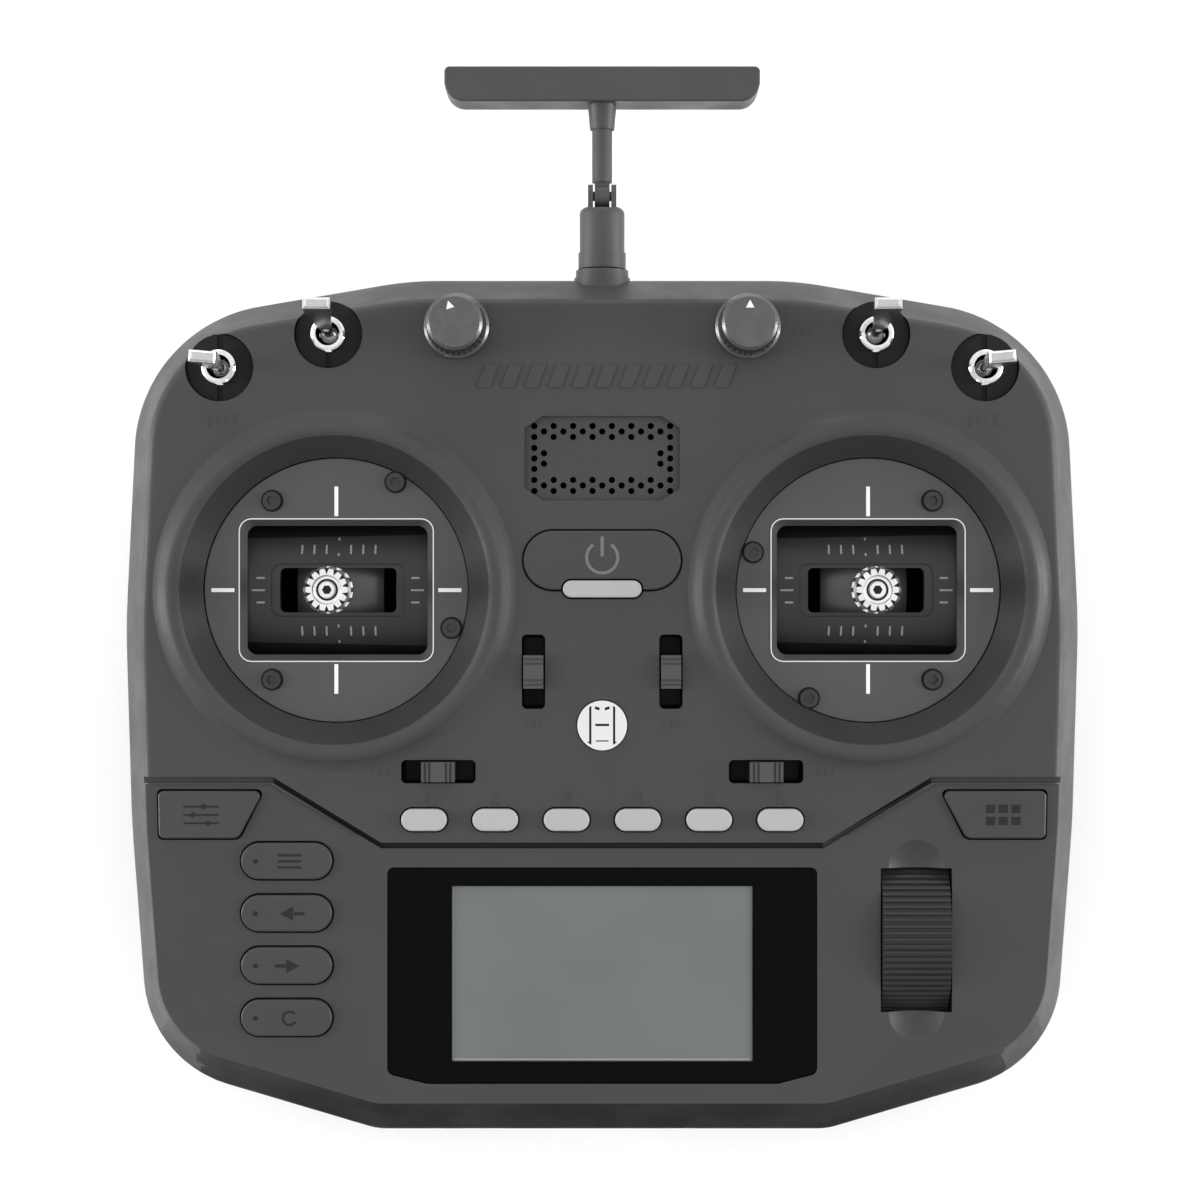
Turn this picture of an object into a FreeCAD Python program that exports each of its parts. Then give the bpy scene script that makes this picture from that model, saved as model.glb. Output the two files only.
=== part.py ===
import FreeCAD, Part
import math, os

# Radio transmitter controller. Millimetres.
# +Z points out of the front face, +Y toward the antenna, +X to the right seen from the front.
# The origin is under the middle of the case, on the plane that the case rests on.

os.makedirs("parts", exist_ok=True)
V = FreeCAD.Vector
X_DIR, Y_DIR, Z_DIR = V(1, 0, 0), V(0, 1, 0), V(0, 0, 1)

# ---- case ----
case_width = 178.0
case_height = 158.6
case_shift = -0.9        # the outline sits this far below the middle of the controls
top_edge = case_height / 2 + case_shift
low_edge = -case_height / 2 + case_shift
face_z = 58.0
flank_height = 13.0
shoulder_z = face_z - flank_height     # where the outline is widest
seam_z = shoulder_z - 7.0              # joint between the front and rear halves
back_z = 3.0             # flat back, above the rest plane by the height of the grips
flank_inset = 5.4        # the face is this much smaller all round than the widest outline
face_toe = 2.4           # how much further the face is drawn in along the lower edge
back_inset = 14.0
haunch_z = 14.0          # where the rear half starts to turn into the back
haunch_inset = 4.0
wall = 2.5
face_wall = 3.0
back_wall = 5.0
panel_drop = 0.5         # the lower panel lies this far under the face
groove_width = 1.1
groove_depth = 1.2

# ---- clearances ----
slot_gap = 0.32          # button to the hole that it stands in
hinge_gap = 0.06         # pin to bore
under_gap = 0.5          # flange to the inside of the face
neck_gap = 0.05          # threaded neck to its hole in the face

# ---- gimbals ----
gimbal_x = 48.5
gimbal_y = 20.5
plate_radius = 24.0
plate_drop = 3.0
plate_top_z = face_z - plate_drop
plate_wall = 2.0
window_width = 33.0
window_height = 23.6
window_bevel = 1.0
ring_slope = 5.5
ring_crest_radius = plate_radius + ring_slope
ring_foot_radius = ring_crest_radius + 3.5
ring_height = 1.8
cradle_radius = 18.2
cradle_wall = 2.0
cradle_length = 38.0
cradle_reach = 66.0      # degrees each side of upright that the barrel covers
stick_slot_length = 21.4
stick_slot_width = 8.2
trunnion_radius = 2.0
carrier_pin_radius = 1.5
shaft_radius = 1.8
dome_gap = 0.6
dome_radius = cradle_radius - cradle_wall - dome_gap
stick_end_radius = 4.2
stick_end_length = 8.0
stick_end_rise = 7.5
stick_end_bottom_z = plate_top_z + stick_end_rise
housing_wall = 2.1
housing_half_x = cradle_length / 2 + 5.0
housing_half_y = cradle_radius + 0.7 + housing_wall
between_rings = gimbal_x - ring_foot_radius    # half of the face left free between the two rings
plate_screws = [(-11.7, 16.3), (-11.7, -16.3), (10.8, 19.7), (21.0, -6.9)]

# ---- toggle switches ----
outer_switch = (69.4, 60.9)
inner_switch = (49.65, 66.9)
switch_recess_radius = 6.2
switch_recess_depth = 2.0
bushing_radius = 3.1
bushing_bore = 2.2
bushing_top_z = face_z + 1.2
lever_pivot_z = face_z - 2.5
lever_height = 19.0
lever_tip_z = face_z + lever_height
switch_block_top_z = face_z - 8.5
lever_width = 5.0
lever_thickness = 2.2
inner_lean = 9.0
outer_turn = 5.0

# ---- knobs ----
knob_x = 26.3
knob_y = 68.2
knob_radius = 5.9
knob_top_radius = 4.9
knob_height = 7.4
knob_bottom_z = face_z + 0.6
knob_top_z = knob_bottom_z + knob_height
knob_shaft_radius = 2.0

# ---- speaker grille ----
grille_y = 44.4
grille_width = 28.2
grille_height = 15.3
grille_depth = 1.0
grille_hole = 0.58

# ---- power button and light ----
power_y = 25.9
power_width = 2 * between_rings - 2.5
power_height = 10.7
light_y = 20.7
light_width = 14.3
light_height = 3.1

# ---- trims ----
trim_length = 13.5
trim_width = 4.24
thumb_length = 6.0
upright_trim = (12.46, 5.7)
lying_trim = (29.7, -12.4)
trim_pivot_z = face_z - 9.0
trim_pin_radius = 0.8
thumb_top_z = face_z + 1.6

# ---- buttons ----
function_y = -21.1
function_pitch = 12.9
function_width = 8.25
function_height = 4.0
button_top_z = face_z + 0.9
menu_x = -57.2
menu_first_y = -28.6
menu_pitch = 9.47
menu_width = 16.5
menu_height = 6.6
taper_bottom_y = -24.5
taper_top_y = -15.9
button_travel = 0.8

# ---- main board ----
board_z = face_z - 17.0
board_shelf_y = gimbal_y - housing_half_y - 2.5   # the board stays below the gimbals
board_tongue_half = gimbal_x - housing_half_x - 3.5

# ---- lanyard hook ----
hook_y = -4.0
hook_radius = 4.7
hook_bar = 3.9

# ---- display ----
display_top_y = -29.9
display_bottom_y = -69.0
display_half = 38.9
lcd_width = 54.5
lcd_height = 31.8
lcd_y = -49.1

# ---- roller ----
roller_x = 57.0
roller_y = -43.0
roller_radius = 18.2
roller_width = 12.3
roller_top_z = face_z + 2.0
roller_ribs = 96
roller_end_gap = 0.52
roller_half_opening = roller_end_gap + math.sqrt(
    roller_radius ** 2 - (roller_radius - roller_top_z + face_z - face_wall) ** 2)
dish_radius = 4.7

# ---- antenna ----
antenna_z = shoulder_z - 1.0
socket_front_y = top_edge + 1.8
barrel_start_y = socket_front_y + 0.3
barrel_radius = 4.2
spigot_radius = 2.6
barrel_length = 11.5
barrel_end_y = barrel_start_y + barrel_length
knuckle_radius = 2.2
knuckle_y = barrel_end_y + knuckle_radius
knuckle_pin = 0.9
ear_half = 2.65
stem_length = 17.0
stem_end_y = knuckle_y + stem_length
stem_radius = 1.9
bar_width = 58.6
bar_height = 6.5
bar_depth = 8.4

# ---- back ----
door_half_width = 36.0
door_top_y = -6.0
door_bottom_y = -64.0
door_thickness = 2.2
bay_half = 22.0
bay_y = 40.0
bay_depth = 14.0
cover_thickness = 2.4
grip_inner_x = 46.0
grip_outer_x = 69.0
jack_x = 12.0
jack_z = 24.0
jack_bore = 1.8
usb_x = -12.0
shoulder_button_x = 58.0
shoulder_button_z = 27.0
shoulder_slope = 9.5     # degrees that the upper edge of the case falls toward its corners


# ---------- plain shapes ----------

def save(name, shape):
    shape.exportStep(os.path.join("parts", name + ".step"))


def box(x0, x1, y0, y1, z0, z1):
    return Part.makeBox(x1 - x0, y1 - y0, z1 - z0, V(x0, y0, z0))


def post(x, y, z0, z1, radius):
    return Part.makeCylinder(radius, z1 - z0, V(x, y, z0), Z_DIR)


def rod_x(x0, x1, y, z, radius):
    return Part.makeCylinder(radius, x1 - x0, V(x0, y, z), X_DIR)


def rod_y(x, y0, y1, z, radius):
    return Part.makeCylinder(radius, y1 - y0, V(x, y0, z), Y_DIR)


def joined(shapes):
    result = shapes[0]
    for shape in shapes[1:]:
        result = result.fuse(shape)
    return result.removeSplitter()


def group(shapes):
    return Part.makeCompound(shapes)


def mirrored(shape):
    return shape.mirror(V(0, 0, 0), X_DIR)


def moved(shape, x=0.0, y=0.0, z=0.0):
    copy = shape.copy()
    copy.translate(V(x, y, z))
    return copy


def turned(shape, centre, axis, degrees):
    copy = shape.copy()
    copy.rotate(centre, axis, degrees)
    return copy


def rounded_wire(corners, z):
    # closed outline through (x, y, radius) corners, with an arc at each corner
    arcs = []
    count = len(corners)
    for i in range(count):
        x, y, radius = corners[i]
        back = V(corners[i - 1][0] - x, corners[i - 1][1] - y, 0).normalize()
        ahead = V(corners[(i + 1) % count][0] - x, corners[(i + 1) % count][1] - y, 0).normalize()
        half_turn = (math.pi - back.getAngle(ahead)) / 2
        corner = V(x, y, z)
        reach = radius * math.tan(half_turn)
        middle = (back + ahead).normalize() * (radius / math.cos(half_turn) - radius)
        arcs.append((corner + back * reach, corner + middle, corner + ahead * reach))
    edges = []
    for i in range(count):
        start, middle, end = arcs[i]
        before = arcs[i - 1][2]
        if before.distanceToPoint(start) > 1e-6:
            edges.append(Part.LineSegment(before, start).toShape())
        edges.append(Part.Arc(start, middle, end).toShape())
    return Part.Wire(edges)


def prism(corners, z0, z1):
    return Part.Face(rounded_wire(corners, z0)).extrude(V(0, 0, z1 - z0))


def rounded_box(x, y, width, height, radius, z0, z1):
    w, h = width / 2, height / 2
    return prism([(x - w, y - h, radius), (x + w, y - h, radius),
                  (x + w, y + h, radius), (x - w, y + h, radius)], z0, z1)


def stadium(x, y, width, height, z0, z1, grow=0.0):
    w, h = width / 2 + grow, height / 2 + grow
    radius = min(w, h)
    if w >= h:
        ends = [post(x - w + radius, y, z0, z1, radius), post(x + w - radius, y, z0, z1, radius)]
        middle = box(x - w + radius, x + w - radius, y - h, y + h, z0, z1)
    else:
        ends = [post(x, y - h + radius, z0, z1, radius), post(x, y + h - radius, z0, z1, radius)]
        middle = box(x - w, x + w, y - h + radius, y + h - radius, z0, z1)
    return joined([middle] + ends)


def lathe(points, x=0.0, y=0.0):
    # solid of revolution about an upright axis from (radius, z) points
    wire = Part.makePolygon([V(r, 0, z) for r, z in points + points[:1]])
    return moved(Part.Face(wire).revolve(V(0, 0, 0), Z_DIR, 360), x, y)


def soften_top(shape, z, radius):
    edges = [e for e in shape.Edges
             if abs(e.BoundBox.ZMin - z) < 1e-5 and abs(e.BoundBox.ZMax - z) < 1e-5]
    return shape.makeFillet(radius, edges)


# ---------- case ----------

def case_corners(inset, toe=0.0):
    # outline of the case drawn in by inset, and by toe more along the lower edge:
    # straight runs joined by arcs
    w, h = case_width / 2, case_height / 2
    right = [(42.0, -h, 12.0), (w - 4.5, -h + 12.6, 22.0), (w - 1.1, -22.0, 200.0),
             (w, 15.0, 150.0), (w - 2.7, h - 8.6, 28.0), (36.0, h, 60.0)]
    loop = right + [(-x, y, r) for x, y, r in reversed(right)]
    count = len(loop)
    drawn = []
    for i in range(count):
        (x0, y0, _), (x1, y1, r), (x2, y2, _) = loop[i - 1], loop[i], loop[(i + 1) % count]
        a, b = V(x1 - x0, y1 - y0, 0).normalize(), V(x2 - x1, y2 - y1, 0).normalize()
        near, far = [inset + (toe if run.x > 0.8 else 0.0) for run in (a, b)]
        p = V(x1 - a.y * near, y1 + a.x * near, 0)
        q = V(x1 - b.y * far, y1 + b.x * far, 0)
        t = ((q.x - p.x) * b.y - (q.y - p.y) * b.x) / (a.x * b.y - a.y * b.x)
        drawn.append((p.x + a.x * t, p.y + a.y * t, max(r - inset, 1.0)))
    return [(x, y + case_shift, r) for x, y, r in drawn]


def case_layer(inset_low, z_low, inset_high, z_high, toe=0.0):
    return Part.makeLoft([rounded_wire(case_corners(inset_low), z_low),
                          rounded_wire(case_corners(inset_high, toe), z_high)], True, True)


def front_blank():
    outer = joined([case_layer(0.3, seam_z, 0, shoulder_z),
                    case_layer(0, shoulder_z, flank_inset, face_z, face_toe)])
    outer = soften_top(outer, face_z, 1.6)
    outer = soften_top(outer, shoulder_z, 6.0)
    return outer.cut(front_hollow(wall))


def front_hollow(inset):
    # space inside the front half, inset from the outline all round
    return joined([case_layer(inset + 0.3, seam_z - 1, inset, shoulder_z),
                   case_layer(inset, shoulder_z, inset + flank_inset, face_z - face_wall,
                              face_toe)])


def gimbal_ring(x):
    # funnel round the plate: straight inner slope, rounded crest, hollow curve down to the face
    inner, crest, foot = plate_radius + 0.2, ring_crest_radius, ring_foot_radius
    low, top = plate_top_z - plate_wall, face_z + ring_height
    start, lip = V(inner, 0, low), V(inner, 0, plate_top_z + 0.5)
    inside, outside = V(crest - 1.5, 0, top - 0.6), V(crest + 1.4, 0, top - 0.5)
    base, rim = V(foot, 0, low), V(foot, 0, face_z)
    edges = [Part.LineSegment(start, base).toShape(), Part.LineSegment(base, rim).toShape(),
             Part.Arc(rim, V(foot - 1.1, 0, face_z + 0.4), outside).toShape(),
             Part.Arc(outside, V(crest, 0, top), inside).toShape(),
             Part.LineSegment(inside, lip).toShape(), Part.LineSegment(lip, start).toShape()]
    ring = Part.Face(Part.Wire(edges)).revolve(V(0, 0, 0), Z_DIR, 360)
    return moved(ring, x, gimbal_y)


def grille_holes():
    # centres of the sound holes: staggered rows above and below, a small block at each side
    across, row = grille_width / 16, grille_height / 15.3
    spots = []
    for column in range(-7, 8):
        for y in ((5.9, 3.9) if column % 2 else (4.9,)):
            spots += [(column * across, y * row), (column * across, -y * row)]
    for side in (-1, 1):
        spots += [(side * 7 * across, y * row) for y in (1.9, 0, -1.9)]
        spots += [(side * 6 * across, y * row) for y in (0.95, -0.95)]
    return spots


def lower_panel():
    # region of the face under the groove, cut down by panel_drop
    far = case_width
    return prism([(-far, -14.7, 0.1), (-60.1, -14.7, 0.1), (-40.5, -26.0, 0.1), (40.5, -26.0, 0.1),
                  (60.1, -14.7, 0.1), (far, -14.7, 0.1), (far, -far, 0.1), (-far, -far, 0.1)],
                 face_z - panel_drop, face_z + 10)


def groove():
    # narrow channel along the edge of the lower panel, out to both sides of the face
    w = groove_width / 2
    run = [(-case_width, -13.9), (-59.7, -13.9), (-40.1, -25.8),
           (40.1, -25.8), (59.7, -13.9), (case_width, -13.9)]
    upper = [(x, y + w, 0.2) for x, y in run]
    lower = [(x, y - w, 0.2) for x, y in reversed(run)]
    return prism(upper + lower, face_z - groove_depth, face_z + 10)


def power_opening(grow):
    z0, z1 = face_z - face_wall - 1, face_z + 5
    return joined([stadium(0, power_y, power_width, power_height, z0, z1, grow),
                   stadium(0, light_y, light_width, light_height, z0, z1, grow)])


def taper_corners(side, grow):
    top, low = taper_top_y + grow, taper_bottom_y - grow
    corners = [(80.3 + grow, low, 1.0), (80.5 + grow, top, 1.0),
               (61.4 - grow, top, 1.0), (66.0 - grow, low, 1.6)]
    if side < 0:
        return [(-x, y, r) for x, y, r in reversed(corners)]
    return corners


def display_corners(grow):
    w = display_half + grow
    top, low = display_top_y + grow, display_bottom_y - grow
    return [(-w, top, 1.2), (-w, low + 1.8, 1.5), (-31.8, low, 3.0),
            (31.8, low, 3.0), (w, low + 1.8, 1.5), (w, top, 1.2)]


def both_sides(point):
    return [(point[0], point[1]), (-point[0], point[1])]


def function_spots():
    return [((i - 2.5) * function_pitch, function_y) for i in range(6)]


def menu_spots():
    return [(menu_x, menu_first_y - i * menu_pitch) for i in range(4)]


def front_shell():
    # round windows are opened first, so that the inner slope of each ring runs down to its plate
    windows = [post(x, gimbal_y, face_z - face_wall - 1, face_z + 1, ring_crest_radius)
               for x in (gimbal_x, -gimbal_x)]
    shell = front_blank().cut(windows)
    shell = shell.fuse([gimbal_ring(gimbal_x), gimbal_ring(-gimbal_x)])
    through = (face_z - face_wall - 5, face_z + 6)
    cuts = [lower_panel(), groove(), power_opening(slot_gap)]
    for x in (gimbal_x, -gimbal_x):
        cuts.append(post(x, gimbal_y, through[0], through[1], plate_radius + 0.2))
    for point in (outer_switch, inner_switch):
        for x, y in both_sides(point):
            cuts.append(post(x, y, face_z - switch_recess_depth, through[1], switch_recess_radius))
            cuts.append(post(x, y, through[0], through[1], bushing_radius + neck_gap))
    for x, y in both_sides((knob_x, knob_y)):
        cuts.append(post(x, y, through[0], through[1], bushing_radius + neck_gap))
    w, h = grille_width / 2, grille_height / 2
    cuts.append(prism([(-w, grille_y - h + 2.2, 0.4), (-w + 3.3, grille_y - h, 0.4),
                       (w - 3.3, grille_y - h, 0.4), (w, grille_y - h + 2.2, 0.4),
                       (w, grille_y + h - 2.2, 0.4), (w - 3.3, grille_y + h, 0.4),
                       (-w + 3.3, grille_y + h, 0.4), (-w, grille_y + h - 2.2, 0.4)],
                      face_z - grille_depth, through[1]))
    for x, y in grille_holes():
        cuts.append(post(x, grille_y + y, through[0], through[1], grille_hole))
    for x, y in both_sides(upright_trim):
        cuts.append(rounded_box(x, y, trim_width, trim_length, 0.9, *through))
    for x, y in both_sides(lying_trim):
        cuts.append(rounded_box(x, y, trim_length, trim_width, 0.9, *through))
    for x, y in function_spots():
        cuts.append(stadium(x, y, function_width, function_height, *through, slot_gap))
    for x, y in menu_spots():
        cuts.append(stadium(x, y, menu_width, menu_height, *through, slot_gap))
    for side in (-1, 1):
        cuts.append(prism(taper_corners(side, slot_gap), *through))
    cuts.append(post(0, hook_y, face_z - face_wall - 1, through[1], hook_radius))
    cuts.append(prism(display_corners(0.1), face_z - panel_drop - 1.2, through[1]))
    cuts.append(box(-lcd_width / 2 - 1, lcd_width / 2 + 1, lcd_y - lcd_height / 2 - 1,
                    lcd_y + lcd_height / 2 + 1, through[0], through[1]))
    cuts.append(box(roller_x - roller_width / 2 - slot_gap, roller_x + roller_width / 2 + slot_gap,
                    roller_y - roller_half_opening, roller_y + roller_half_opening, *through))
    for side in (-1, 1):
        cuts.append(Part.makeSphere(dish_radius + 3.6, V(roller_x, roller_y + side * 13.2,
                                                         face_z - panel_drop + 6.6)))
    cuts.append(rod_y(0, top_edge - 8, top_edge + 5, antenna_z, 5.2))
    return shell.cut(cuts).removeSplitter()


def rear_blank():
    outer = joined([case_layer(haunch_inset, haunch_z, 0.3, seam_z),
                    case_layer(back_inset, back_z, haunch_inset, haunch_z)])
    outer = soften_top(outer, back_z, 2.0)
    outer = soften_top(outer, haunch_z, 6.0)
    inner = joined([case_layer(haunch_inset + wall, haunch_z + 2, wall + 0.3, seam_z + 1),
                    case_layer(back_inset - 1, back_z + back_wall, haunch_inset + wall, haunch_z + 2)])
    return outer.cut(inner)


def shoulder_frame(shape, side):
    # places a shape drawn round the +Y axis onto the sloped upper edge of the case
    placed = turned(shape, V(0, 0, 0), Z_DIR, -shoulder_slope)
    placed = moved(placed, shoulder_button_x, top_edge - 3.9, shoulder_button_z)
    return placed if side > 0 else mirrored(placed)


def shoulder_pill(width, height, y0, y1):
    flat = stadium(0, 0, width, height, -y1, -y0)
    return turned(flat, V(0, 0, 0), X_DIR, 90)


def case_screw_spots():
    return [(side * x, y) for side in (-1, 1) for x, y in ((35.0, 60.0), (41.0, -60.0), (41.0, 6.0))]


def rear_shell():
    shell = rear_blank()
    # tray that the battery door slides in, open toward the lower edge
    w = door_half_width
    cuts = [box(-w - slot_gap, w + slot_gap, -case_height, door_top_y + slot_gap,
                back_z - 1, back_z + door_thickness + slot_gap)]
    cuts.append(box(-w + 3, w - 3, -57.0, door_top_y - 5, back_z, back_z + back_wall + 1))
    # module bay: a walled well behind the cover
    bay = box(-bay_half - 2, bay_half + 2, bay_y - bay_half - 2, bay_y + bay_half + 2,
              back_z + 1, back_z + bay_depth)
    cuts.append(rounded_box(0, bay_y, 2 * bay_half, 2 * bay_half, 2.0, back_z - 1,
                            back_z + bay_depth - 1.6))
    for x, y in case_screw_spots():
        cuts.append(post(x, y, back_z - 1, back_z + 2.2, 3.0))
        cuts.append(post(x, y, back_z - 1, back_z + back_wall + 1, 1.4))
    for side in (-1, 1):
        cuts.append(shoulder_frame(shoulder_pill(16 + 2 * slot_gap, 7 + 2 * slot_gap, -9, 6), side))
    cuts.append(rod_y(jack_x, -case_height, low_edge + 9, jack_z, 4.0))
    port = turned(stadium(0, 0, 9.6, 3.8, -10, 10), V(0, 0, 0), X_DIR, 90)
    cuts.append(moved(port, usb_x, low_edge, jack_z))
    # vents above the battery door
    for i in range(4):
        cuts.append(stadium(0, 4.5 + i * 3.2, 30.0, 1.4, back_z - 1, back_z + back_wall + 1))
    return shell.fuse(bay).cut(cuts).removeSplitter()


# ---------- gimbals, drawn round (0, 0) with the pivot at pivot_z ----------

pivot_z = plate_top_z - plate_wall - 0.6 - cradle_radius


def gimbal_plate():
    plate = post(0, 0, plate_top_z - plate_wall, plate_top_z, plate_radius)
    w, h = window_width / 2, window_height / 2
    low = rounded_wire([(-w, -h, 1.8), (w, -h, 1.8), (w, h, 1.8), (-w, h, 1.8)],
                       plate_top_z - plate_wall)
    w, h = window_width / 2 + window_bevel, window_height / 2 + window_bevel
    high = rounded_wire([(-w, -h, 2.2), (w, -h, 2.2), (w, h, 2.2), (-w, h, 2.2)], plate_top_z)
    plate = plate.cut(Part.makeLoft([low, high], True, True))
    return plate.cut([post(x, y, plate_top_z - plate_wall, plate_top_z, 1.0) for x, y in plate_screws])


def gimbal_housing():
    top = plate_top_z - plate_wall
    hx, hy = housing_half_x, housing_half_y
    frame = box(-hx, hx, -hy, hy, pivot_z - 10, top)
    frame = frame.cut([box(-hx + 4, hx - 4, -hy + housing_wall, hy - housing_wall, pivot_z - 8, top - 2),
                       box(-cradle_length / 2 - 0.6, cradle_length / 2 + 0.6, -14, 14, top - 3, top),
                       rod_x(-hx, hx, 0, pivot_z, trunnion_radius + hinge_gap)])
    # corners kept inside the round plate
    frame = frame.common(post(0, 0, pivot_z - 10, top, ring_crest_radius))
    return frame.cut([post(x, y, top - 4, top, 1.0) for x, y in plate_screws])


def gimbal_screw(x, y):
    screw = joined([post(x, y, plate_top_z, plate_top_z + 0.9, 1.65),
                    post(x, y, plate_top_z - plate_wall - 3.5, plate_top_z, 1.0)])
    socket = []
    for i in range(6):
        a = math.radians(60 * i)
        socket.append((x + 0.95 * math.cos(a), y + 0.95 * math.sin(a), 0.05))
    return screw.cut(prism(socket, plate_top_z + 0.2, plate_top_z + 1))


def gimbal_sensor():
    hx = housing_half_x
    can = rod_x(-hx - 4, -hx, 0, pivot_z, 7.0)
    board = box(-hx - 1.6, -hx, -9, 9, pivot_z - 9, pivot_z + 9)
    return joined([can, board])


def upright_wedge(half_degrees, length):
    far = 40.0
    a = math.radians(half_degrees)
    wire = Part.makePolygon([V(-length / 2, 0, 0), V(-length / 2, -far * math.sin(a), far * math.cos(a)),
                             V(-length / 2, -far, 2 * far), V(-length / 2, far, 2 * far),
                             V(-length / 2, far * math.sin(a), far * math.cos(a)), V(-length / 2, 0, 0)])
    return Part.Face(wire).extrude(V(length, 0, 0))


def cradle():
    half = cradle_length / 2
    barrel = rod_x(-half, half, 0, 0, cradle_radius)
    barrel = barrel.cut(rod_x(-half + 1.5, half - 1.5, 0, 0, cradle_radius - cradle_wall))
    barrel = barrel.common(upright_wedge(cradle_reach, cradle_length + 2))
    rim = rounded_box(0, 0, 24.7, 9.8, 1.8, 0, 40).cut(rod_x(-half, half, 0, 0, cradle_radius - 0.3))
    slot = rounded_box(0, 0, stick_slot_length, stick_slot_width, 1.0, 0, 40)
    pieces = [barrel.cut([rim, slot])]
    for side in (-1, 1):
        x0, x1 = sorted((side * (half - 1.5), side * half))
        pieces.append(rod_x(x0, x1, 0, 0, 5.0))
        x0, x1 = sorted((side * (half - 1.5), side * (half + 3.5)))
        pieces.append(rod_x(x0, x1, 0, 0, trunnion_radius))
        y0, y1 = sorted((side * 5.5, side * 7.3))
        pieces.append(box(-5, 5, y0, y1, -3, cradle_radius - cradle_wall - 0.4))
    whole = joined(pieces).cut(rod_y(0, -8, 8, 0, carrier_pin_radius + hinge_gap))
    return moved(whole, 0, 0, pivot_z)


def stick_carrier():
    hub = rod_y(0, -5.1, 5.1, 0, 3.2)
    pin = rod_y(0, -7.2, 7.2, 0, carrier_pin_radius)
    shaft = post(0, 0, 0, stick_end_bottom_z + stick_end_length - 2 - pivot_z, shaft_radius)
    dome = Part.makeSphere(dome_radius).cut(Part.makeSphere(dome_radius - 1.4))
    dome = dome.common(box(-8, 8, -5.1, 5.1, 1, 40))
    return moved(joined([hub, pin, shaft, dome]), 0, 0, pivot_z)


def notched_ring(x, y, z0, z1, radius, count, depth):
    cuts = []
    for i in range(count):
        a = 2 * math.pi * (i + 0.5) / count
        cuts.append(post(x + (radius + depth) * math.cos(a), y + (radius + depth) * math.sin(a),
                         z0, z1, 2 * depth))
    return cuts


def stick_end():
    z0, z1, r = stick_end_bottom_z, stick_end_bottom_z + stick_end_length, stick_end_radius
    body = lathe([(shaft_radius, z0), (r - 1.2, z0), (r, z0 + 2.2), (r, z1 - 0.8), (r - 0.5, z1),
                  (r - 1.6, z1), (r - 1.9, z1 - 0.7), (1.5, z1 - 0.7), (1.4, z1 - 0.3), (0, z1 - 0.3),
                  (0, z1 - 2), (shaft_radius, z1 - 2)])
    return body.cut(notched_ring(0, 0, z1 - 4.5, z1 + 1, r, 14, 0.32))


# ---------- switches and knobs ----------

def switch_body(x, y):
    # the block is bevelled where it would meet the sloping side wall
    block = box(x - 3.5, x + 3.5, y - 5, y + 5, seam_z + 0.3, switch_block_top_z)
    block = block.common(front_hollow(wall + 0.3))
    low = switch_block_top_z - 0.5
    bushing = lathe([(bushing_bore, low), (bushing_radius, low), (bushing_radius, bushing_top_z - 0.3),
                     (bushing_radius - 0.3, bushing_top_z), (bushing_bore, bushing_top_z)], x, y)
    keyway = box(x - 0.6, x + 0.6, y - bushing_radius, y - bushing_bore - 0.3,
                 face_z - switch_recess_depth, bushing_top_z)
    return joined([block, bushing]).cut(keyway)


def switch_nut(x, y):
    low = face_z - switch_recess_depth
    size = switch_recess_radius - 0.15
    nut = post(x, y, low, low + 0.9, size).cut(post(x, y, low, low + 1, bushing_radius))
    return nut.cut([box(x - 0.5, x + 0.5, y - 7, y + 7, low + 0.5, low + 2)])


def lever(x, y):
    # flat bat of the toggle, upright, on a ball in the bushing
    z0, z1 = lever_pivot_z, lever_tip_z
    ball = Part.makeSphere(bushing_bore - 0.3, V(x, y, z0))
    flat, reach = bushing_bore - 0.6, bushing_bore - 0.4
    ball = ball.common(box(x - flat, x + flat, y - 3, y + 3, z0 - 3, z0 + 3))
    cross_pin = rod_x(x - reach, x + reach, y, z0, 0.6)
    neck = Part.makeCone(0.85, 0.95, 6, V(x, y, z0), Z_DIR)
    low = Part.makePolygon([V(x - 0.9, y - 0.7, z0 + 5), V(x + 0.9, y - 0.7, z0 + 5),
                            V(x + 0.9, y + 0.7, z0 + 5), V(x - 0.9, y + 0.7, z0 + 5),
                            V(x - 0.9, y - 0.7, z0 + 5)])
    w, t = lever_width / 2, lever_thickness / 2
    high = Part.makePolygon([V(x - w, y - t, z1), V(x + w, y - t, z1), V(x + w, y + t, z1),
                             V(x - w, y + t, z1), V(x - w, y - t, z1)])
    bat = Part.makeLoft([low, high], True, True)
    bat = soften_top(bat, z1, 0.7)
    return joined([ball, cross_pin, neck, bat])


def switch_lever(side, point, lean, turn):
    x, y = side * point[0], point[1]
    made = lever(x, y)
    made = turned(made, V(x, y, lever_pivot_z), Z_DIR, turn)
    return turned(made, V(x, y, lever_pivot_z), X_DIR, -lean)


def knob(side):
    x, y = side * knob_x, knob_y
    body = lathe([(0, knob_bottom_z), (knob_radius, knob_bottom_z), (knob_radius, knob_bottom_z + 1.2),
                  (knob_radius - 0.45, knob_bottom_z + 1.6), (knob_top_radius + 0.1, knob_top_z - 0.5),
                  (knob_top_radius - 0.4, knob_top_z), (0, knob_top_z)], x, y)
    body = body.cut(notched_ring(x, y, knob_bottom_z + 1.8, knob_top_z + 1,
                                 knob_top_radius + 0.35, 30, 0.22))
    return joined([body, post(x, y, face_z - 11.0, knob_bottom_z + 1, knob_shaft_radius)])


def knob_pot(side):
    x, y = side * knob_x, knob_y
    can = box(x - 5, x + 5, y - 5, y + 4, face_z - 14, face_z - 7)
    neck = post(x, y, face_z - 7, face_z - 0.4, bushing_radius)
    return joined([can, neck]).cut(post(x, y, face_z - 11.5, face_z + 1, knob_shaft_radius + hinge_gap))


# ---------- trims and buttons ----------

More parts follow.
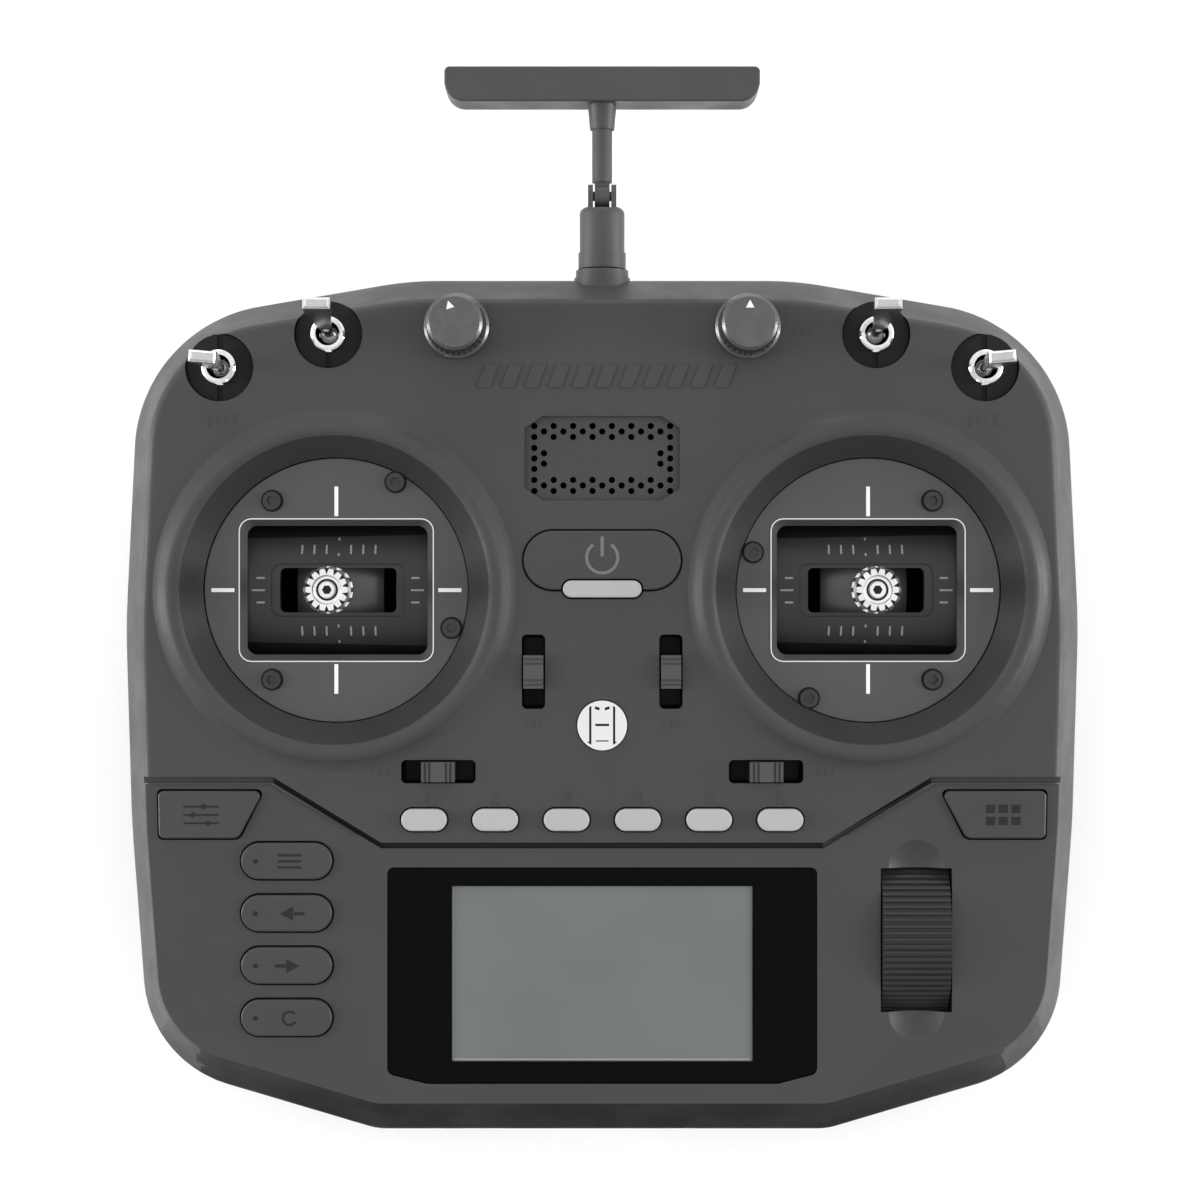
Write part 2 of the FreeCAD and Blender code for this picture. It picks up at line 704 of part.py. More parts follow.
def trim_rocker():
    # rocker of an upright trim round (0, 0): thumb, curved base, web and pin
    w, low = trim_width / 2 - slot_gap, face_z - 5.4
    thumb = box(-w, w, -thumb_length / 2, thumb_length / 2, low + 0.6, thumb_top_z)
    thumb = thumb.cut([box(-w, w, y - 0.22, y + 0.22, thumb_top_z - 0.5, thumb_top_z + 1)
                       for y in (-2.3, -1.5, 1.5, 2.3)])
    reach = trim_length / 2 - 0.55
    base = box(-w, w, -reach, reach, low, low + 1.2)
    web = box(-1.5, 1.5, -1.5, 1.5, trim_pivot_z - 1.2, low + 0.4)
    pin = rod_x(-3.2, 3.2, 0, trim_pivot_z, trim_pin_radius)
    return joined([thumb, base, web, pin])


def trim_bracket():
    foot = box(-3.6, 3.6, -4, 4, board_z + 1.6, trim_pivot_z - 2.5)
    ears = [box(2.1, 3.3, -2, 2, trim_pivot_z - 3, trim_pivot_z + 1.6),
            box(-3.3, -2.1, -2, 2, trim_pivot_z - 3, trim_pivot_z + 1.6)]
    return joined([foot] + ears).cut(rod_x(-4, 4, 0, trim_pivot_z, trim_pin_radius + hinge_gap))


def at_trim(shape, spot, lying):
    placed = turned(shape, V(0, 0, 0), Z_DIR, 90) if lying else shape
    return moved(placed, spot[0], spot[1], 0)


flange_top = face_z - face_wall - under_gap


def function_button(x, y):
    cap = soften_top(stadium(x, y, function_width, function_height, flange_top - 1,
                             face_z + 1.2), face_z + 1.2, 0.4)
    return joined([cap, stadium(x, y, function_width, function_height, flange_top - 1, flange_top, 0.7)])


def menu_button(x, y):
    top = button_top_z - panel_drop
    cap = soften_top(stadium(x, y, menu_width, menu_height, flange_top - 1, top), top, 0.4)
    return joined([cap, stadium(x, y, menu_width, menu_height, flange_top - 1, flange_top, 0.7)])


def taper_button(side):
    top = button_top_z - panel_drop
    cap = soften_top(prism(taper_corners(side, 0), flange_top - 1, top), top, 0.4)
    # the flange stops short of the side wall
    flange = prism(taper_corners(side, 0.7), flange_top - 1, flange_top)
    return joined([cap, flange.common(box(-79.7, 79.7, -40, 0, 0, face_z))])


def power_button():
    z0, z1 = flange_top - 1, face_z + 0.5
    cap = soften_top(stadium(0, power_y, power_width, power_height, z0, z1), z1, 0.4)
    flange = stadium(0, power_y, power_width, power_height, z0, flange_top, 0.7)
    notch = stadium(0, light_y, light_width, light_height, z0 - 1, z1 + 1, slot_gap)
    half = light_width / 2 + slot_gap
    low = box(-half, half, light_y - 5, light_y, z0 - 1, z1 + 1)
    return joined([cap, flange]).cut([notch, low])


def light_bar():
    bar = stadium(0, light_y, light_width, light_height, board_z + 1.6, face_z + 0.5)
    return soften_top(bar, face_z + 0.5, 0.3)


def key_switches():
    # snap switches on the board under every button, and the brackets of the trims
    top = flange_top - 1 - button_travel - 0.4
    spots = function_spots() + menu_spots() + [(0, power_y + 1.0), (72.5, -20.0), (-72.5, -20.0)]
    made = [box(x - 2, x + 2, y - 1.5, y + 1.5, board_z + 1.6, top) for x, y in spots]
    for lying, spot in ((False, upright_trim), (True, lying_trim)):
        for place in both_sides(spot):
            made.append(at_trim(trim_bracket(), place, lying))
    return group(made)


# ---------- inner parts ----------

def main_board():
    # one board under the keys with a tongue up between the gimbals
    shelf, half = board_shelf_y, board_tongue_half
    slab = prism([(-80, -40, 3), (-74, -62, 3), (-40, -70, 3), (40, -70, 3), (47, -66, 3),
                  (47, -23.5, 1), (79, -23.5, 1), (79, -14, 1), (70, shelf, 1), (half, shelf, 1),
                  (half, 34, 1), (-half, 34, 1), (-half, shelf, 1), (-70, shelf, 1), (-80, -14, 1)],
                 board_z, board_z + 1.6)
    chip = box(-7, 7, -7 - 25, 7 - 25, board_z - 1.5, board_z)
    return joined([slab, chip])


def rf_board():
    slab = box(-16, 16, 55, 70, board_z, board_z + 1.6)
    return joined([slab, box(-9, 9, 57, 68, board_z + 1.6, board_z + 4)])


def speaker():
    top = face_z - face_wall
    width = 2 * between_rings + 5.0
    body = rounded_box(0, grille_y, width - 2, 19, 3, top - 7, top - 1.2)
    rim = rounded_box(0, grille_y, width, 21, 3, top - 1.2, top)
    cone = rounded_box(0, grille_y, width - 6, 15.5, 3, top - 3, top)
    return joined([body, rim]).cut(cone)


def lcd_panel():
    glass = box(-lcd_width / 2, lcd_width / 2, lcd_y - lcd_height / 2, lcd_y + lcd_height / 2,
                face_z - face_wall - 1, face_z - panel_drop - 0.3)
    back = box(-lcd_width / 2 - 3, lcd_width / 2 + 3, lcd_y - lcd_height / 2 - 3, lcd_y + lcd_height / 2 + 3,
               face_z - face_wall - 5, face_z - face_wall - 0.1)
    return joined([glass, back])


def display_window():
    z1 = face_z - panel_drop
    pane = prism(display_corners(0), z1 - 1.2, z1)
    pane = soften_top(pane, z1, 0.25)
    return pane.cut(box(-lcd_width / 2, lcd_width / 2, lcd_y - lcd_height / 2, lcd_y + lcd_height / 2,
                        z1 - 2, z1 + 1))


def lanyard_hook():
    low = face_z - face_wall - 0.8
    size = hook_radius - 0.2
    cup = post(0, hook_y, low, face_z + 0.2, size)
    cup = cup.cut(post(0, hook_y, low + 1, face_z + 1, size - 0.45))
    bar = box(-hook_bar / 2, hook_bar / 2, hook_y - hook_radius + 0.2, hook_y + hook_radius - 0.2,
              face_z - 0.9, face_z + 0.7)
    bar = bar.common(post(0, hook_y, low, face_z + 2, size))
    return joined([cup, bar])


def roller_pieces():
    # ribbed wheel on a cross axle, and the fork that carries it
    axis_z = roller_top_z - roller_radius
    points = []
    for i in range(roller_ribs):
        for share, radius in ((0.0, roller_radius - 0.45), (0.3, roller_radius - 0.45),
                              (0.42, roller_radius), (0.88, roller_radius)):
            a = 2 * math.pi * (i + share) / roller_ribs
            points.append(V(-roller_width / 2, radius * math.cos(a), radius * math.sin(a)))
    wheel = Part.Face(Part.makePolygon(points + points[:1])).extrude(V(roller_width, 0, 0))
    axle = 2.0
    wheel = wheel.cut(rod_x(-roller_width, roller_width, 0, 0, axle + hinge_gap))
    near = roller_width / 2 + 0.45
    far = near + 1.2
    fork = [box(-far, far, -6, 6, -roller_radius - 4, -roller_radius - 1.6), rod_x(-far, far, 0, 0, axle)]
    for side in (-1, 1):
        x0, x1 = sorted((side * near, side * far))
        fork.append(box(x0, x1, -6, 6, -roller_radius - 4, 5))
    return (moved(wheel, roller_x, roller_y, axis_z), moved(joined(fork), roller_x, roller_y, axis_z))


# ---------- antenna ----------

def antenna_socket():
    tube = rod_y(0, top_edge - 6.3, top_edge + 0.4, antenna_z, 5.2)
    lip = rod_y(0, top_edge + 0.4, socket_front_y, antenna_z, 4.9)
    bore = rod_y(0, top_edge - 4.8, barrel_start_y + 5, antenna_z, spigot_radius + hinge_gap)
    return joined([tube, lip]).cut(bore)


def antenna_barrel():
    # spigot in the socket, and two ears that hold the foot of the stem
    base = rod_y(0, barrel_start_y, barrel_start_y + 3.0, antenna_z, barrel_radius + 0.25)
    body = rod_y(0, barrel_start_y, barrel_end_y, antenna_z, barrel_radius)
    body = body.makeFillet(1.2, [e for e in body.Edges if e.BoundBox.YMin > barrel_end_y - 0.1])
    spigot = rod_y(0, top_edge - 4.3, barrel_start_y + 1, antenna_z, spigot_radius)
    ears = [rod_x(-ear_half, ear_half, knuckle_y, antenna_z, knuckle_radius),
            box(-ear_half, ear_half, barrel_end_y - 1, knuckle_y,
                antenna_z - knuckle_radius, antenna_z + knuckle_radius)]
    slot = box(-1.7, 1.7, knuckle_y - knuckle_radius - 0.4, knuckle_y + 5,
               antenna_z - 6, antenna_z + 6)
    bore = rod_x(-10, 10, knuckle_y, antenna_z, knuckle_pin + hinge_gap)
    return joined([base, body, spigot] + ears).cut([slot, bore])


def antenna_stem():
    knuckle = rod_x(-1.4, 1.4, knuckle_y, antenna_z, knuckle_radius)
    pin = rod_x(-ear_half, ear_half, knuckle_y, antenna_z, knuckle_pin)
    tongue = box(-1.4, 1.4, knuckle_y, knuckle_y + 3.2, antenna_z - 1.4, antenna_z + 1.4)
    rod = rod_y(0, knuckle_y + knuckle_radius + 0.35, stem_end_y - 4, antenna_z, stem_radius)
    collar = turned(Part.makeCone(2.3, 2.7, 4.6), V(0, 0, 0), X_DIR, -90)
    collar = moved(collar, 0, stem_end_y - 4.6, antenna_z)
    return joined([knuckle, pin, tongue, rod, collar])


def antenna_bar():
    w, d = bar_width / 2, bar_depth / 2
    flat = prism([(-w, 0, 3.6), (w, 0, 3.6), (w, bar_height, 1.0), (-w, bar_height, 1.0)],
                 antenna_z - d, antenna_z + d)
    flat = moved(flat, 0, stem_end_y, 0)
    edges = [e for e in flat.Edges if abs(abs(e.BoundBox.ZMin - antenna_z) - d) < 1e-5
             and abs(e.BoundBox.ZLength) < 1e-5]
    return flat.makeFillet(0.4, edges)


# ---------- back ----------

def battery_door():
    w = door_half_width
    door = box(-w, w, door_bottom_y, door_top_y, back_z, back_z + door_thickness)
    ribs = [box(-12, 12, y, y + 1.2, back_z - 1, back_z + 0.6) for y in (-20, -22.4, -24.8, -17.6)]
    return door.cut(ribs)


def battery_pack():
    z = back_z + back_wall + 11.5
    return joined([rod_x(-33, 33, y, z, 9.2) for y in (-22.4, -41.0)]
                  + [box(-30, 30, -33, -30, z - 6, z + 6)])


def module_cover():
    h = bay_half - slot_gap
    plate = rounded_box(0, bay_y, 2 * h, 2 * h, 1.8, back_z, back_z + cover_thickness)
    plate = plate.cut([box(-14, 14, bay_y + y, bay_y + y + 1.2, back_z - 1, back_z + 0.7)
                       for y in (-6, -3, 0, 3, 6)])
    clips = [box(-5, 5, bay_y + side * (h - 1.6) - 0.8, bay_y + side * (h - 1.6) + 0.8,
                 back_z + cover_thickness - 0.5, back_z + 7) for side in (-1, 1)]
    return joined([plate] + clips)


def rear_grip(side):
    grip = prism([(grip_inner_x + 4, -56, 6), (grip_outer_x - 4, -52, 8), (grip_outer_x, 20, 30),
                  (grip_outer_x - 4, 42, 8), (grip_inner_x + 2, 44, 6), (grip_inner_x, -10, 40)],
                 0, back_z)
    grip = soften_top(grip, 0, 1.0)
    grip = grip.cut([box(0, case_width, y, y + 1.6, -1, 0.8) for y in range(-44, 36, 8)])
    return grip if side > 0 else mirrored(grip)


def middle_pad():
    # short pad between the battery door and the vents, level with the grips
    return soften_top(stadium(0, 0, 30.0, 4.6, 0, back_z), 0, 0.8)


def case_screw(x, y):
    z = back_z + 2.2
    head = post(x, y, z - 1.8, z, 2.7).cut(post(x, y, z - 2, z - 0.8, 1.1))
    return joined([head, post(x, y, z, back_z + back_wall + 8, 1.4)])


def io_ports():
    edge = low_edge
    jack = rod_y(jack_x, edge + 2.6, edge + 14, jack_z, 4.0)
    jack = jack.cut(rod_y(jack_x, edge + 2, edge + 13, jack_z, jack_bore))
    shell = turned(stadium(0, 0, 9.0, 3.2, -9, -3), V(0, 0, 0), X_DIR, 90)
    hollow = turned(stadium(0, 0, 8.4, 2.6, -8, 0), V(0, 0, 0), X_DIR, 90)
    tongue = turned(box(-3.2, 3.2, -0.35, 0.35, -8.5, -4), V(0, 0, 0), X_DIR, 90)
    port = joined([shell.cut(hollow), tongue])
    return group([jack, moved(port, usb_x, edge, jack_z)])


def shoulder_button():
    cap = shoulder_pill(16.0, 7.0, -7.5, 0.8)
    flange = shoulder_pill(18.0, 9.0, -7.5, -6.3)
    return joined([cap, flange])


# ---------- build ----------

def build():
    save("front_shell", front_shell())
    save("rear_shell", rear_shell())
    for name, side in (("left", -1), ("right", 1)):
        x = side * gimbal_x
        save(name + "_gimbal_cradle", moved(cradle(), x, gimbal_y))
        save(name + "_stick_carrier", moved(stick_carrier(), x, gimbal_y))
        save(name + "_stick_end", moved(stick_end(), x, gimbal_y))
        save(name + "_outer_switch_lever", switch_lever(side, outer_switch, 0.0, side * outer_turn))
        save(name + "_inner_switch_lever", switch_lever(side, inner_switch, inner_lean, 0.0))
        save(name + "_knob", knob(side))
        spot = (side * upright_trim[0], upright_trim[1])
        save(name + "_upright_trim", at_trim(trim_rocker(), spot, False))
        spot = (side * lying_trim[0], lying_trim[1])
        save(name + "_lying_trim", at_trim(trim_rocker(), spot, True))
        save(name + "_taper_button", taper_button(side))
        save(name + "_shoulder_button", shoulder_frame(shoulder_button(), side))
    pair = (-1, 1)
    plates = [moved(gimbal_plate(), gimbal_x, gimbal_y)]
    plates[0] = turned(plates[0], V(gimbal_x, gimbal_y, 0), Z_DIR, 180)
    save("gimbal_plates", group(plates + [moved(gimbal_plate(), -gimbal_x, gimbal_y)]))
    housings = [turned(moved(gimbal_housing(), gimbal_x, gimbal_y), V(gimbal_x, gimbal_y, 0), Z_DIR, 180),
                moved(gimbal_housing(), -gimbal_x, gimbal_y)]
    save("gimbal_housings", group(housings))
    save("gimbal_screws", group([gimbal_screw(side * (gimbal_x - x), gimbal_y - side * y)
                                 for side in pair for x, y in plate_screws]))
    save("gimbal_sensors", group([turned(moved(gimbal_sensor(), gimbal_x, gimbal_y),
                                         V(gimbal_x, gimbal_y, 0), Z_DIR, 180),
                                  moved(gimbal_sensor(), -gimbal_x, gimbal_y)]))
    switches = both_sides(outer_switch) + both_sides(inner_switch)
    save("switch_bodies", group([switch_body(x, y) for x, y in switches]))
    save("switch_nuts", group([switch_nut(x, y) for x, y in switches]))
    save("knob_pots", group([knob_pot(side) for side in pair]))
    for i, (x, y) in enumerate(function_spots()):
        save("function_button_%d" % (i + 1), function_button(x, y))
    for i, (x, y) in enumerate(menu_spots()):
        save("menu_button_%d" % (i + 1), menu_button(x, y))
    save("power_button", power_button())
    save("power_light_bar", light_bar())
    save("key_switches", key_switches())
    save("main_board", main_board())
    save("rf_board", rf_board())
    save("speaker", speaker())
    save("lcd_panel", lcd_panel())
    save("display_window", display_window())
    save("lanyard_hook", lanyard_hook())
    wheel, fork = roller_pieces()
    save("scroll_roller", wheel)
    save("roller_carriage", fork)
    save("antenna_socket", antenna_socket())
    save("antenna_barrel", antenna_barrel())
    save("antenna_stem", antenna_stem())
    save("antenna_bar", antenna_bar())
    save("battery_door", battery_door())
    save("battery_pack", battery_pack())
    save("module_bay_cover", module_cover())
    save("rear_grips", group([rear_grip(side) for side in pair] + [middle_pad()]))
    save("case_screws", group([case_screw(x, y) for x, y in case_screw_spots()]))
    save("io_ports", io_ports())


build()
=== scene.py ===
import bpy
import bmesh
import math
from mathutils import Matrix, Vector


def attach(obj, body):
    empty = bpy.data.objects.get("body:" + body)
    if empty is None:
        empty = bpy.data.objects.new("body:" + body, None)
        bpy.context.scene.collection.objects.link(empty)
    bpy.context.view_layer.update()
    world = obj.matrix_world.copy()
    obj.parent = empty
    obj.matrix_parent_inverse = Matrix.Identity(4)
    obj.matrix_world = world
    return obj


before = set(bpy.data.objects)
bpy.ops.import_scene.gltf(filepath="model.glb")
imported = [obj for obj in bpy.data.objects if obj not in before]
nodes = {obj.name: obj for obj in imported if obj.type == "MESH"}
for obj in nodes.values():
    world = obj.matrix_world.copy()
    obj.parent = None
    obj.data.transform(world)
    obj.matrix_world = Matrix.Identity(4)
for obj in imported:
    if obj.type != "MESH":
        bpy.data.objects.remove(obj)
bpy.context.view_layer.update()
print("frame loaded,", len(nodes), "nodes")

mm = 0.001
toMm = 1000
sides = (("left", -1), ("right", 1))
collection = bpy.context.scene.collection


def addNode(tree, kind, inputs=None, **settings):
    node = tree.nodes.new(kind)
    for key, value in settings.items():
        setattr(node, key, value)
    for key, value in (inputs or {}).items():
        node.inputs[key].default_value = value
    return node


def newMaterial(name, baseColor, roughness, metallic=0.0, inputs=None):
    material = bpy.data.materials.new(name)
    material.use_nodes = True
    shader = material.node_tree.nodes["Principled BSDF"]
    shader.inputs["Base Color"].default_value = (*baseColor, 1)
    shader.inputs["Roughness"].default_value = roughness
    shader.inputs["Metallic"].default_value = metallic
    for key, value in (inputs or {}).items():
        shader.inputs[key].default_value = value
    return material, shader, material.node_tree


def objectCoords(tree, stretch=(1, 1, 1)):
    coords = addNode(tree, "ShaderNodeTexCoord")
    mapping = addNode(tree, "ShaderNodeMapping", {"Scale": stretch})
    tree.links.new(coords.outputs["Object"], mapping.inputs["Vector"])
    return mapping.outputs["Vector"]


def noiseAt(tree, vector, scale, detail=3.0, roughness=0.55):
    noise = addNode(tree, "ShaderNodeTexNoise",
                    {"Scale": scale, "Detail": detail, "Roughness": roughness})
    tree.links.new(vector, noise.inputs["Vector"])
    return noise.outputs["Fac"]


def spread(tree, value, low, high, fromLow=0.35, fromHigh=0.65):
    remap = addNode(tree, "ShaderNodeMapRange",
                    {"From Min": fromLow, "From Max": fromHigh, "To Min": low, "To Max": high})
    tree.links.new(value, remap.inputs["Value"])
    return remap.outputs["Result"]


def tintBetween(tree, value, base, low, high):
    # colour that drifts between base times low and base times high
    ramp = addNode(tree, "ShaderNodeValToRGB")
    for element, position, share in zip(ramp.color_ramp.elements, (0.3, 0.7), (low, high)):
        element.position = position
        element.color = (*[min(1, c * share) for c in base], 1)
    tree.links.new(value, ramp.inputs["Fac"])
    return ramp.outputs["Color"]


def bumpInto(tree, shader, height, strength, distance):
    bump = addNode(tree, "ShaderNodeBump", {"Strength": strength, "Distance": distance})
    tree.links.new(height, bump.inputs["Height"])
    tree.links.new(bump.outputs["Normal"], shader.inputs["Normal"])


# what a moulded plastic has unless its look says otherwise
moulded = {"specular": 0.5, "drift": 0.08, "driftScale": 35, "patchScale": 90,
           "glossier": 0.07, "duller": 0.06,
           "grain": 0.35, "grainScale": 2600, "grainDepth": 0.00004}


def mouldedPlastic(name, ownLook):
    # fine spark-eroded grain, slow colour drift, patches a little glossier from handling
    look = {**moulded, **ownLook}
    base, rough = look["color"], look["roughness"]
    material, shader, tree = newMaterial(name, base, rough, 0.0,
                                         {"Specular IOR Level": look["specular"]})
    vector = objectCoords(tree)
    clouds = noiseAt(tree, vector, look["driftScale"], 4)
    tint = tintBetween(tree, clouds, base, 1 - look["drift"], 1 + look["drift"])
    if "fadeTo" in look:
        # painted shade: falls to a darker tone toward the edge nearest the user, where the
        # lower flank lies in shadow
        parts = addNode(tree, "ShaderNodeSeparateXYZ")
        tree.links.new(vector, parts.inputs[0])
        share = spread(tree, parts.outputs["Y"], 1.0, look["fadeTo"],
                       look["fadeStart"], look["fadeEnd"])
        darker = addNode(tree, "ShaderNodeVectorMath", operation="SCALE")
        tree.links.new(tint, darker.inputs[0])
        tree.links.new(share, darker.inputs["Scale"])
        tint = darker.outputs["Vector"]
    tree.links.new(tint, shader.inputs["Base Color"])
    patches = noiseAt(tree, vector, look["patchScale"])
    gloss = spread(tree, patches, rough - look["glossier"], rough + look["duller"])
    tree.links.new(gloss, shader.inputs["Roughness"])
    grain = noiseAt(tree, vector, look["grainScale"], 2, 0.6)
    bumpInto(tree, shader, grain, look["grain"], look["grainDepth"])
    return material


turned = {"stretch": (1, 1, 60), "lineScale": 700, "lineDepth": 0.00002, "grain": 0.15,
          "glossier": 0.7, "duller": 1.35, "smudgeScale": 240, "smudge": (0.9, 1.06)}


def turnedMetal(name, ownLook):
    # faint tool marks that run along one direction, with small changes of gloss
    look = {**turned, **ownLook}
    base, rough = look["color"], look["roughness"]
    material, shader, tree = newMaterial(name, base, rough, 1.0)
    lines = noiseAt(tree, objectCoords(tree, look["stretch"]), look["lineScale"])
    gloss = spread(tree, lines, rough * look["glossier"], rough * look["duller"])
    tree.links.new(gloss, shader.inputs["Roughness"])
    smudges = noiseAt(tree, objectCoords(tree), look["smudgeScale"])
    tint = tintBetween(tree, smudges, base, *look["smudge"])
    tree.links.new(tint, shader.inputs["Base Color"])
    bumpInto(tree, shader, lines, look["grain"], look["lineDepth"])
    return material


glossy = {"metallic": 0.0, "specular": 0.5, "dust": 0.06, "dustScale": 160,
          "dustFrom": 0.45, "dustTo": 0.75, "cloudScale": 40, "cloud": (0.94, 1.05)}


def polished(name, ownLook):
    # clean gloss with a breath of dust in the roughness
    look = {**glossy, **ownLook}
    base, rough = look["color"], look["roughness"]
    material, shader, tree = newMaterial(name, base, rough, look["metallic"],
                                         {"Specular IOR Level": look["specular"]})
    vector = objectCoords(tree)
    dust = noiseAt(tree, vector, look["dustScale"], 5)
    dull = spread(tree, dust, rough, rough + look["dust"], look["dustFrom"], look["dustTo"])
    tree.links.new(dull, shader.inputs["Roughness"])
    clouds = noiseAt(tree, vector, look["cloudScale"], 2)
    tint = tintBetween(tree, clouds, base, *look["cloud"])
    tree.links.new(tint, shader.inputs["Base Color"])
    return material


charcoal = (0.043, 0.043, 0.044)
# painted shade: the lower flank turns darker and duller toward the near edge, for the shadow
# that falls there
flankShadeFade = {"fadeTo": 0.18, "fadeStart": -0.058, "fadeEnd": -0.074}   # along Y, in metres
plasticLooks = {
    "case": {"color": charcoal, "roughness": 0.50, "specular": 0.26, "grain": 0.45,
             "drift": 0.05},
    "midFlankShade": {"color": charcoal, "roughness": 0.52, "specular": 0.15, "grain": 0.45,
                 "drift": 0.05, **flankShadeFade},
    "lowFlankShade": {"color": charcoal, "roughness": 0.55, "specular": 0.03, "grain": 0.45,
                 "drift": 0.05, **flankShadeFade},
    "rear": {"color": (0.048, 0.048, 0.049), "roughness": 0.52, "specular": 0.28,
             "grain": 0.5, "drift": 0.05},
    "plate": {"color": (0.066, 0.066, 0.067), "roughness": 0.45, "specular": 0.26,
              "grain": 0.35, "drift": 0.05},
    # painted shade: darker plastic for the inner slope of the gimbal ring, for the shade it
    # lies in
    "cone": {"color": (0.024, 0.024, 0.0245), "roughness": 0.5, "specular": 0.2,
             "grain": 0.4, "drift": 0.05},
    "cradle": {"color": (0.032, 0.032, 0.033), "roughness": 0.42, "specular": 0.25,
               "grain": 0.3, "drift": 0.05},
    "black": {"color": (0.006, 0.006, 0.006), "roughness": 0.6, "specular": 0.2,
              "grain": 0.4},
    "darkKey": {"color": charcoal, "roughness": 0.46, "specular": 0.26, "grain": 0.3,
                "drift": 0.05},
    "lightKey": {"color": (0.345, 0.345, 0.352), "roughness": 0.38, "specular": 0.3,
                 "grain": 0.2, "drift": 0.03},
    "trim": {"color": (0.045, 0.045, 0.045), "roughness": 0.42, "grain": 0.3},
    "roller": {"color": (0.024, 0.024, 0.0245), "roughness": 0.45, "specular": 0.25,
               "grain": 0.35},
    "antenna": {"color": (0.046, 0.046, 0.047), "roughness": 0.42, "specular": 0.35,
                "grain": 0.35},
    "grip": {"color": (0.022, 0.022, 0.023), "roughness": 0.78, "grain": 0.9,
             "grainScale": 1500, "grainDepth": 0.00012},
    "board": {"color": (0.02, 0.09, 0.05), "roughness": 0.4, "grain": 0.2},
    "print": {"color": (0.24, 0.24, 0.245), "roughness": 0.5, "grain": 0.1, "drift": 0.02},
    "softPrint": {"color": (0.12, 0.12, 0.122), "roughness": 0.5, "grain": 0.1,
                  "drift": 0.02},
    "sunkPrint": {"color": (0.015, 0.015, 0.0155), "roughness": 0.6, "specular": 0.2,
                  "grain": 0.2},
    "faintPrint": {"color": (0.022, 0.022, 0.0225), "roughness": 0.6, "grain": 0.1,
                   "drift": 0.02},
    "brightPrint": {"color": (0.75, 0.75, 0.76), "roughness": 0.45, "grain": 0.1,
                    "drift": 0.02},
    "greyDome": {"color": (0.055, 0.055, 0.056), "roughness": 0.35, "grain": 0.2},
}
metalLooks = {
    "turnedSilver": {"color": (0.90, 0.90, 0.91), "roughness": 0.20, "grain": 0.2},
    "spunDark": {"color": (0.13, 0.13, 0.135), "roughness": 0.34, "stretch": (1, 1, 40)},
    "screwSteel": {"color": (0.42, 0.42, 0.43), "roughness": 0.3},
    "darkSteel": {"color": (0.06, 0.06, 0.062), "roughness": 0.35},
    "leverMetal": {"color": (0.60, 0.60, 0.61), "roughness": 0.2, "stretch": (40, 40, 1)},
}
glossyLooks = {
    "chrome": {"color": (0.86, 0.86, 0.87), "roughness": 0.06, "metallic": 1.0, "dust": 0.05},
    "windowGloss": {"color": (0.002, 0.002, 0.0022), "roughness": 0.12, "specular": 0.04},
    "lcdFace": {"color": (0.128, 0.142, 0.138), "roughness": 0.3, "dust": 0.02,
                "specular": 0.12},
    "lightPipe": {"color": (0.35, 0.35, 0.36), "roughness": 0.3, "specular": 0.3},
}
plastics = {key: mouldedPlastic(key + "Plastic", look) for key, look in plasticLooks.items()}
metals = {key: turnedMetal(key, look) for key, look in metalLooks.items()}
glosses = {key: polished(key, look) for key, look in glossyLooks.items()}
chrome = glosses["chrome"]
black = plastics["black"]

nodeFinish = {
    "front_shell": plastics["case"], "rear_shell": plastics["rear"],
    "battery_door": plastics["rear"], "module_bay_cover": plastics["rear"],
    "rear_grips": plastics["grip"], "case_screws": metals["screwSteel"],
    "gimbal_plates": plastics["plate"], "gimbal_screws": metals["darkSteel"],
    "gimbal_housings": black, "gimbal_sensors": black,
    "main_board": plastics["board"], "rf_board": plastics["board"],
    "speaker": black, "battery_pack": black, "key_switches": black, "knob_pots": black,
    "display_window": glosses["windowGloss"], "lcd_panel": glosses["lcdFace"],
    "power_button": plastics["darkKey"], "power_light_bar": glosses["lightPipe"],
    # painted shade: the switch nuts are black, so that the recesses round the switches read as
    # shaded
    "switch_bodies": chrome, "switch_nuts": black, "lanyard_hook": chrome,
    "io_ports": metals["screwSteel"],
    "scroll_roller": plastics["roller"], "roller_carriage": black,
    "antenna_socket": plastics["antenna"], "antenna_barrel": plastics["antenna"],
    "antenna_stem": plastics["antenna"], "antenna_bar": plastics["antenna"],
}
for side, sign in sides:
    nodeFinish[side + "_gimbal_cradle"] = plastics["cradle"]
    nodeFinish[side + "_stick_carrier"] = plastics["greyDome"]
    nodeFinish[side + "_stick_end"] = metals["turnedSilver"]
    nodeFinish[side + "_outer_switch_lever"] = metals["leverMetal"]
    nodeFinish[side + "_inner_switch_lever"] = metals["leverMetal"]
    nodeFinish[side + "_knob"] = metals["spunDark"]
    nodeFinish[side + "_upright_trim"] = plastics["trim"]
    nodeFinish[side + "_lying_trim"] = plastics["trim"]
    nodeFinish[side + "_taper_button"] = plastics["darkKey"]
    nodeFinish[side + "_shoulder_button"] = plastics["darkKey"]
for i in range(1, 7):
    nodeFinish["function_button_%d" % i] = plastics["lightKey"]
for i in range(1, 5):
    nodeFinish["menu_button_%d" % i] = plastics["darkKey"]
for name, material in nodeFinish.items():
    for slot in nodes[name].material_slots:
        slot.material = material


def paintFaces(nodeName, material, wanted):
    # another finish on the faces that wanted() picks, by centre in millimetres and by normal
    mesh = nodes[nodeName].data
    mesh.materials.append(material)
    for face in mesh.polygons:
        if wanted(face.center * toMm, face.normal):
            face.material_index = len(mesh.materials) - 1


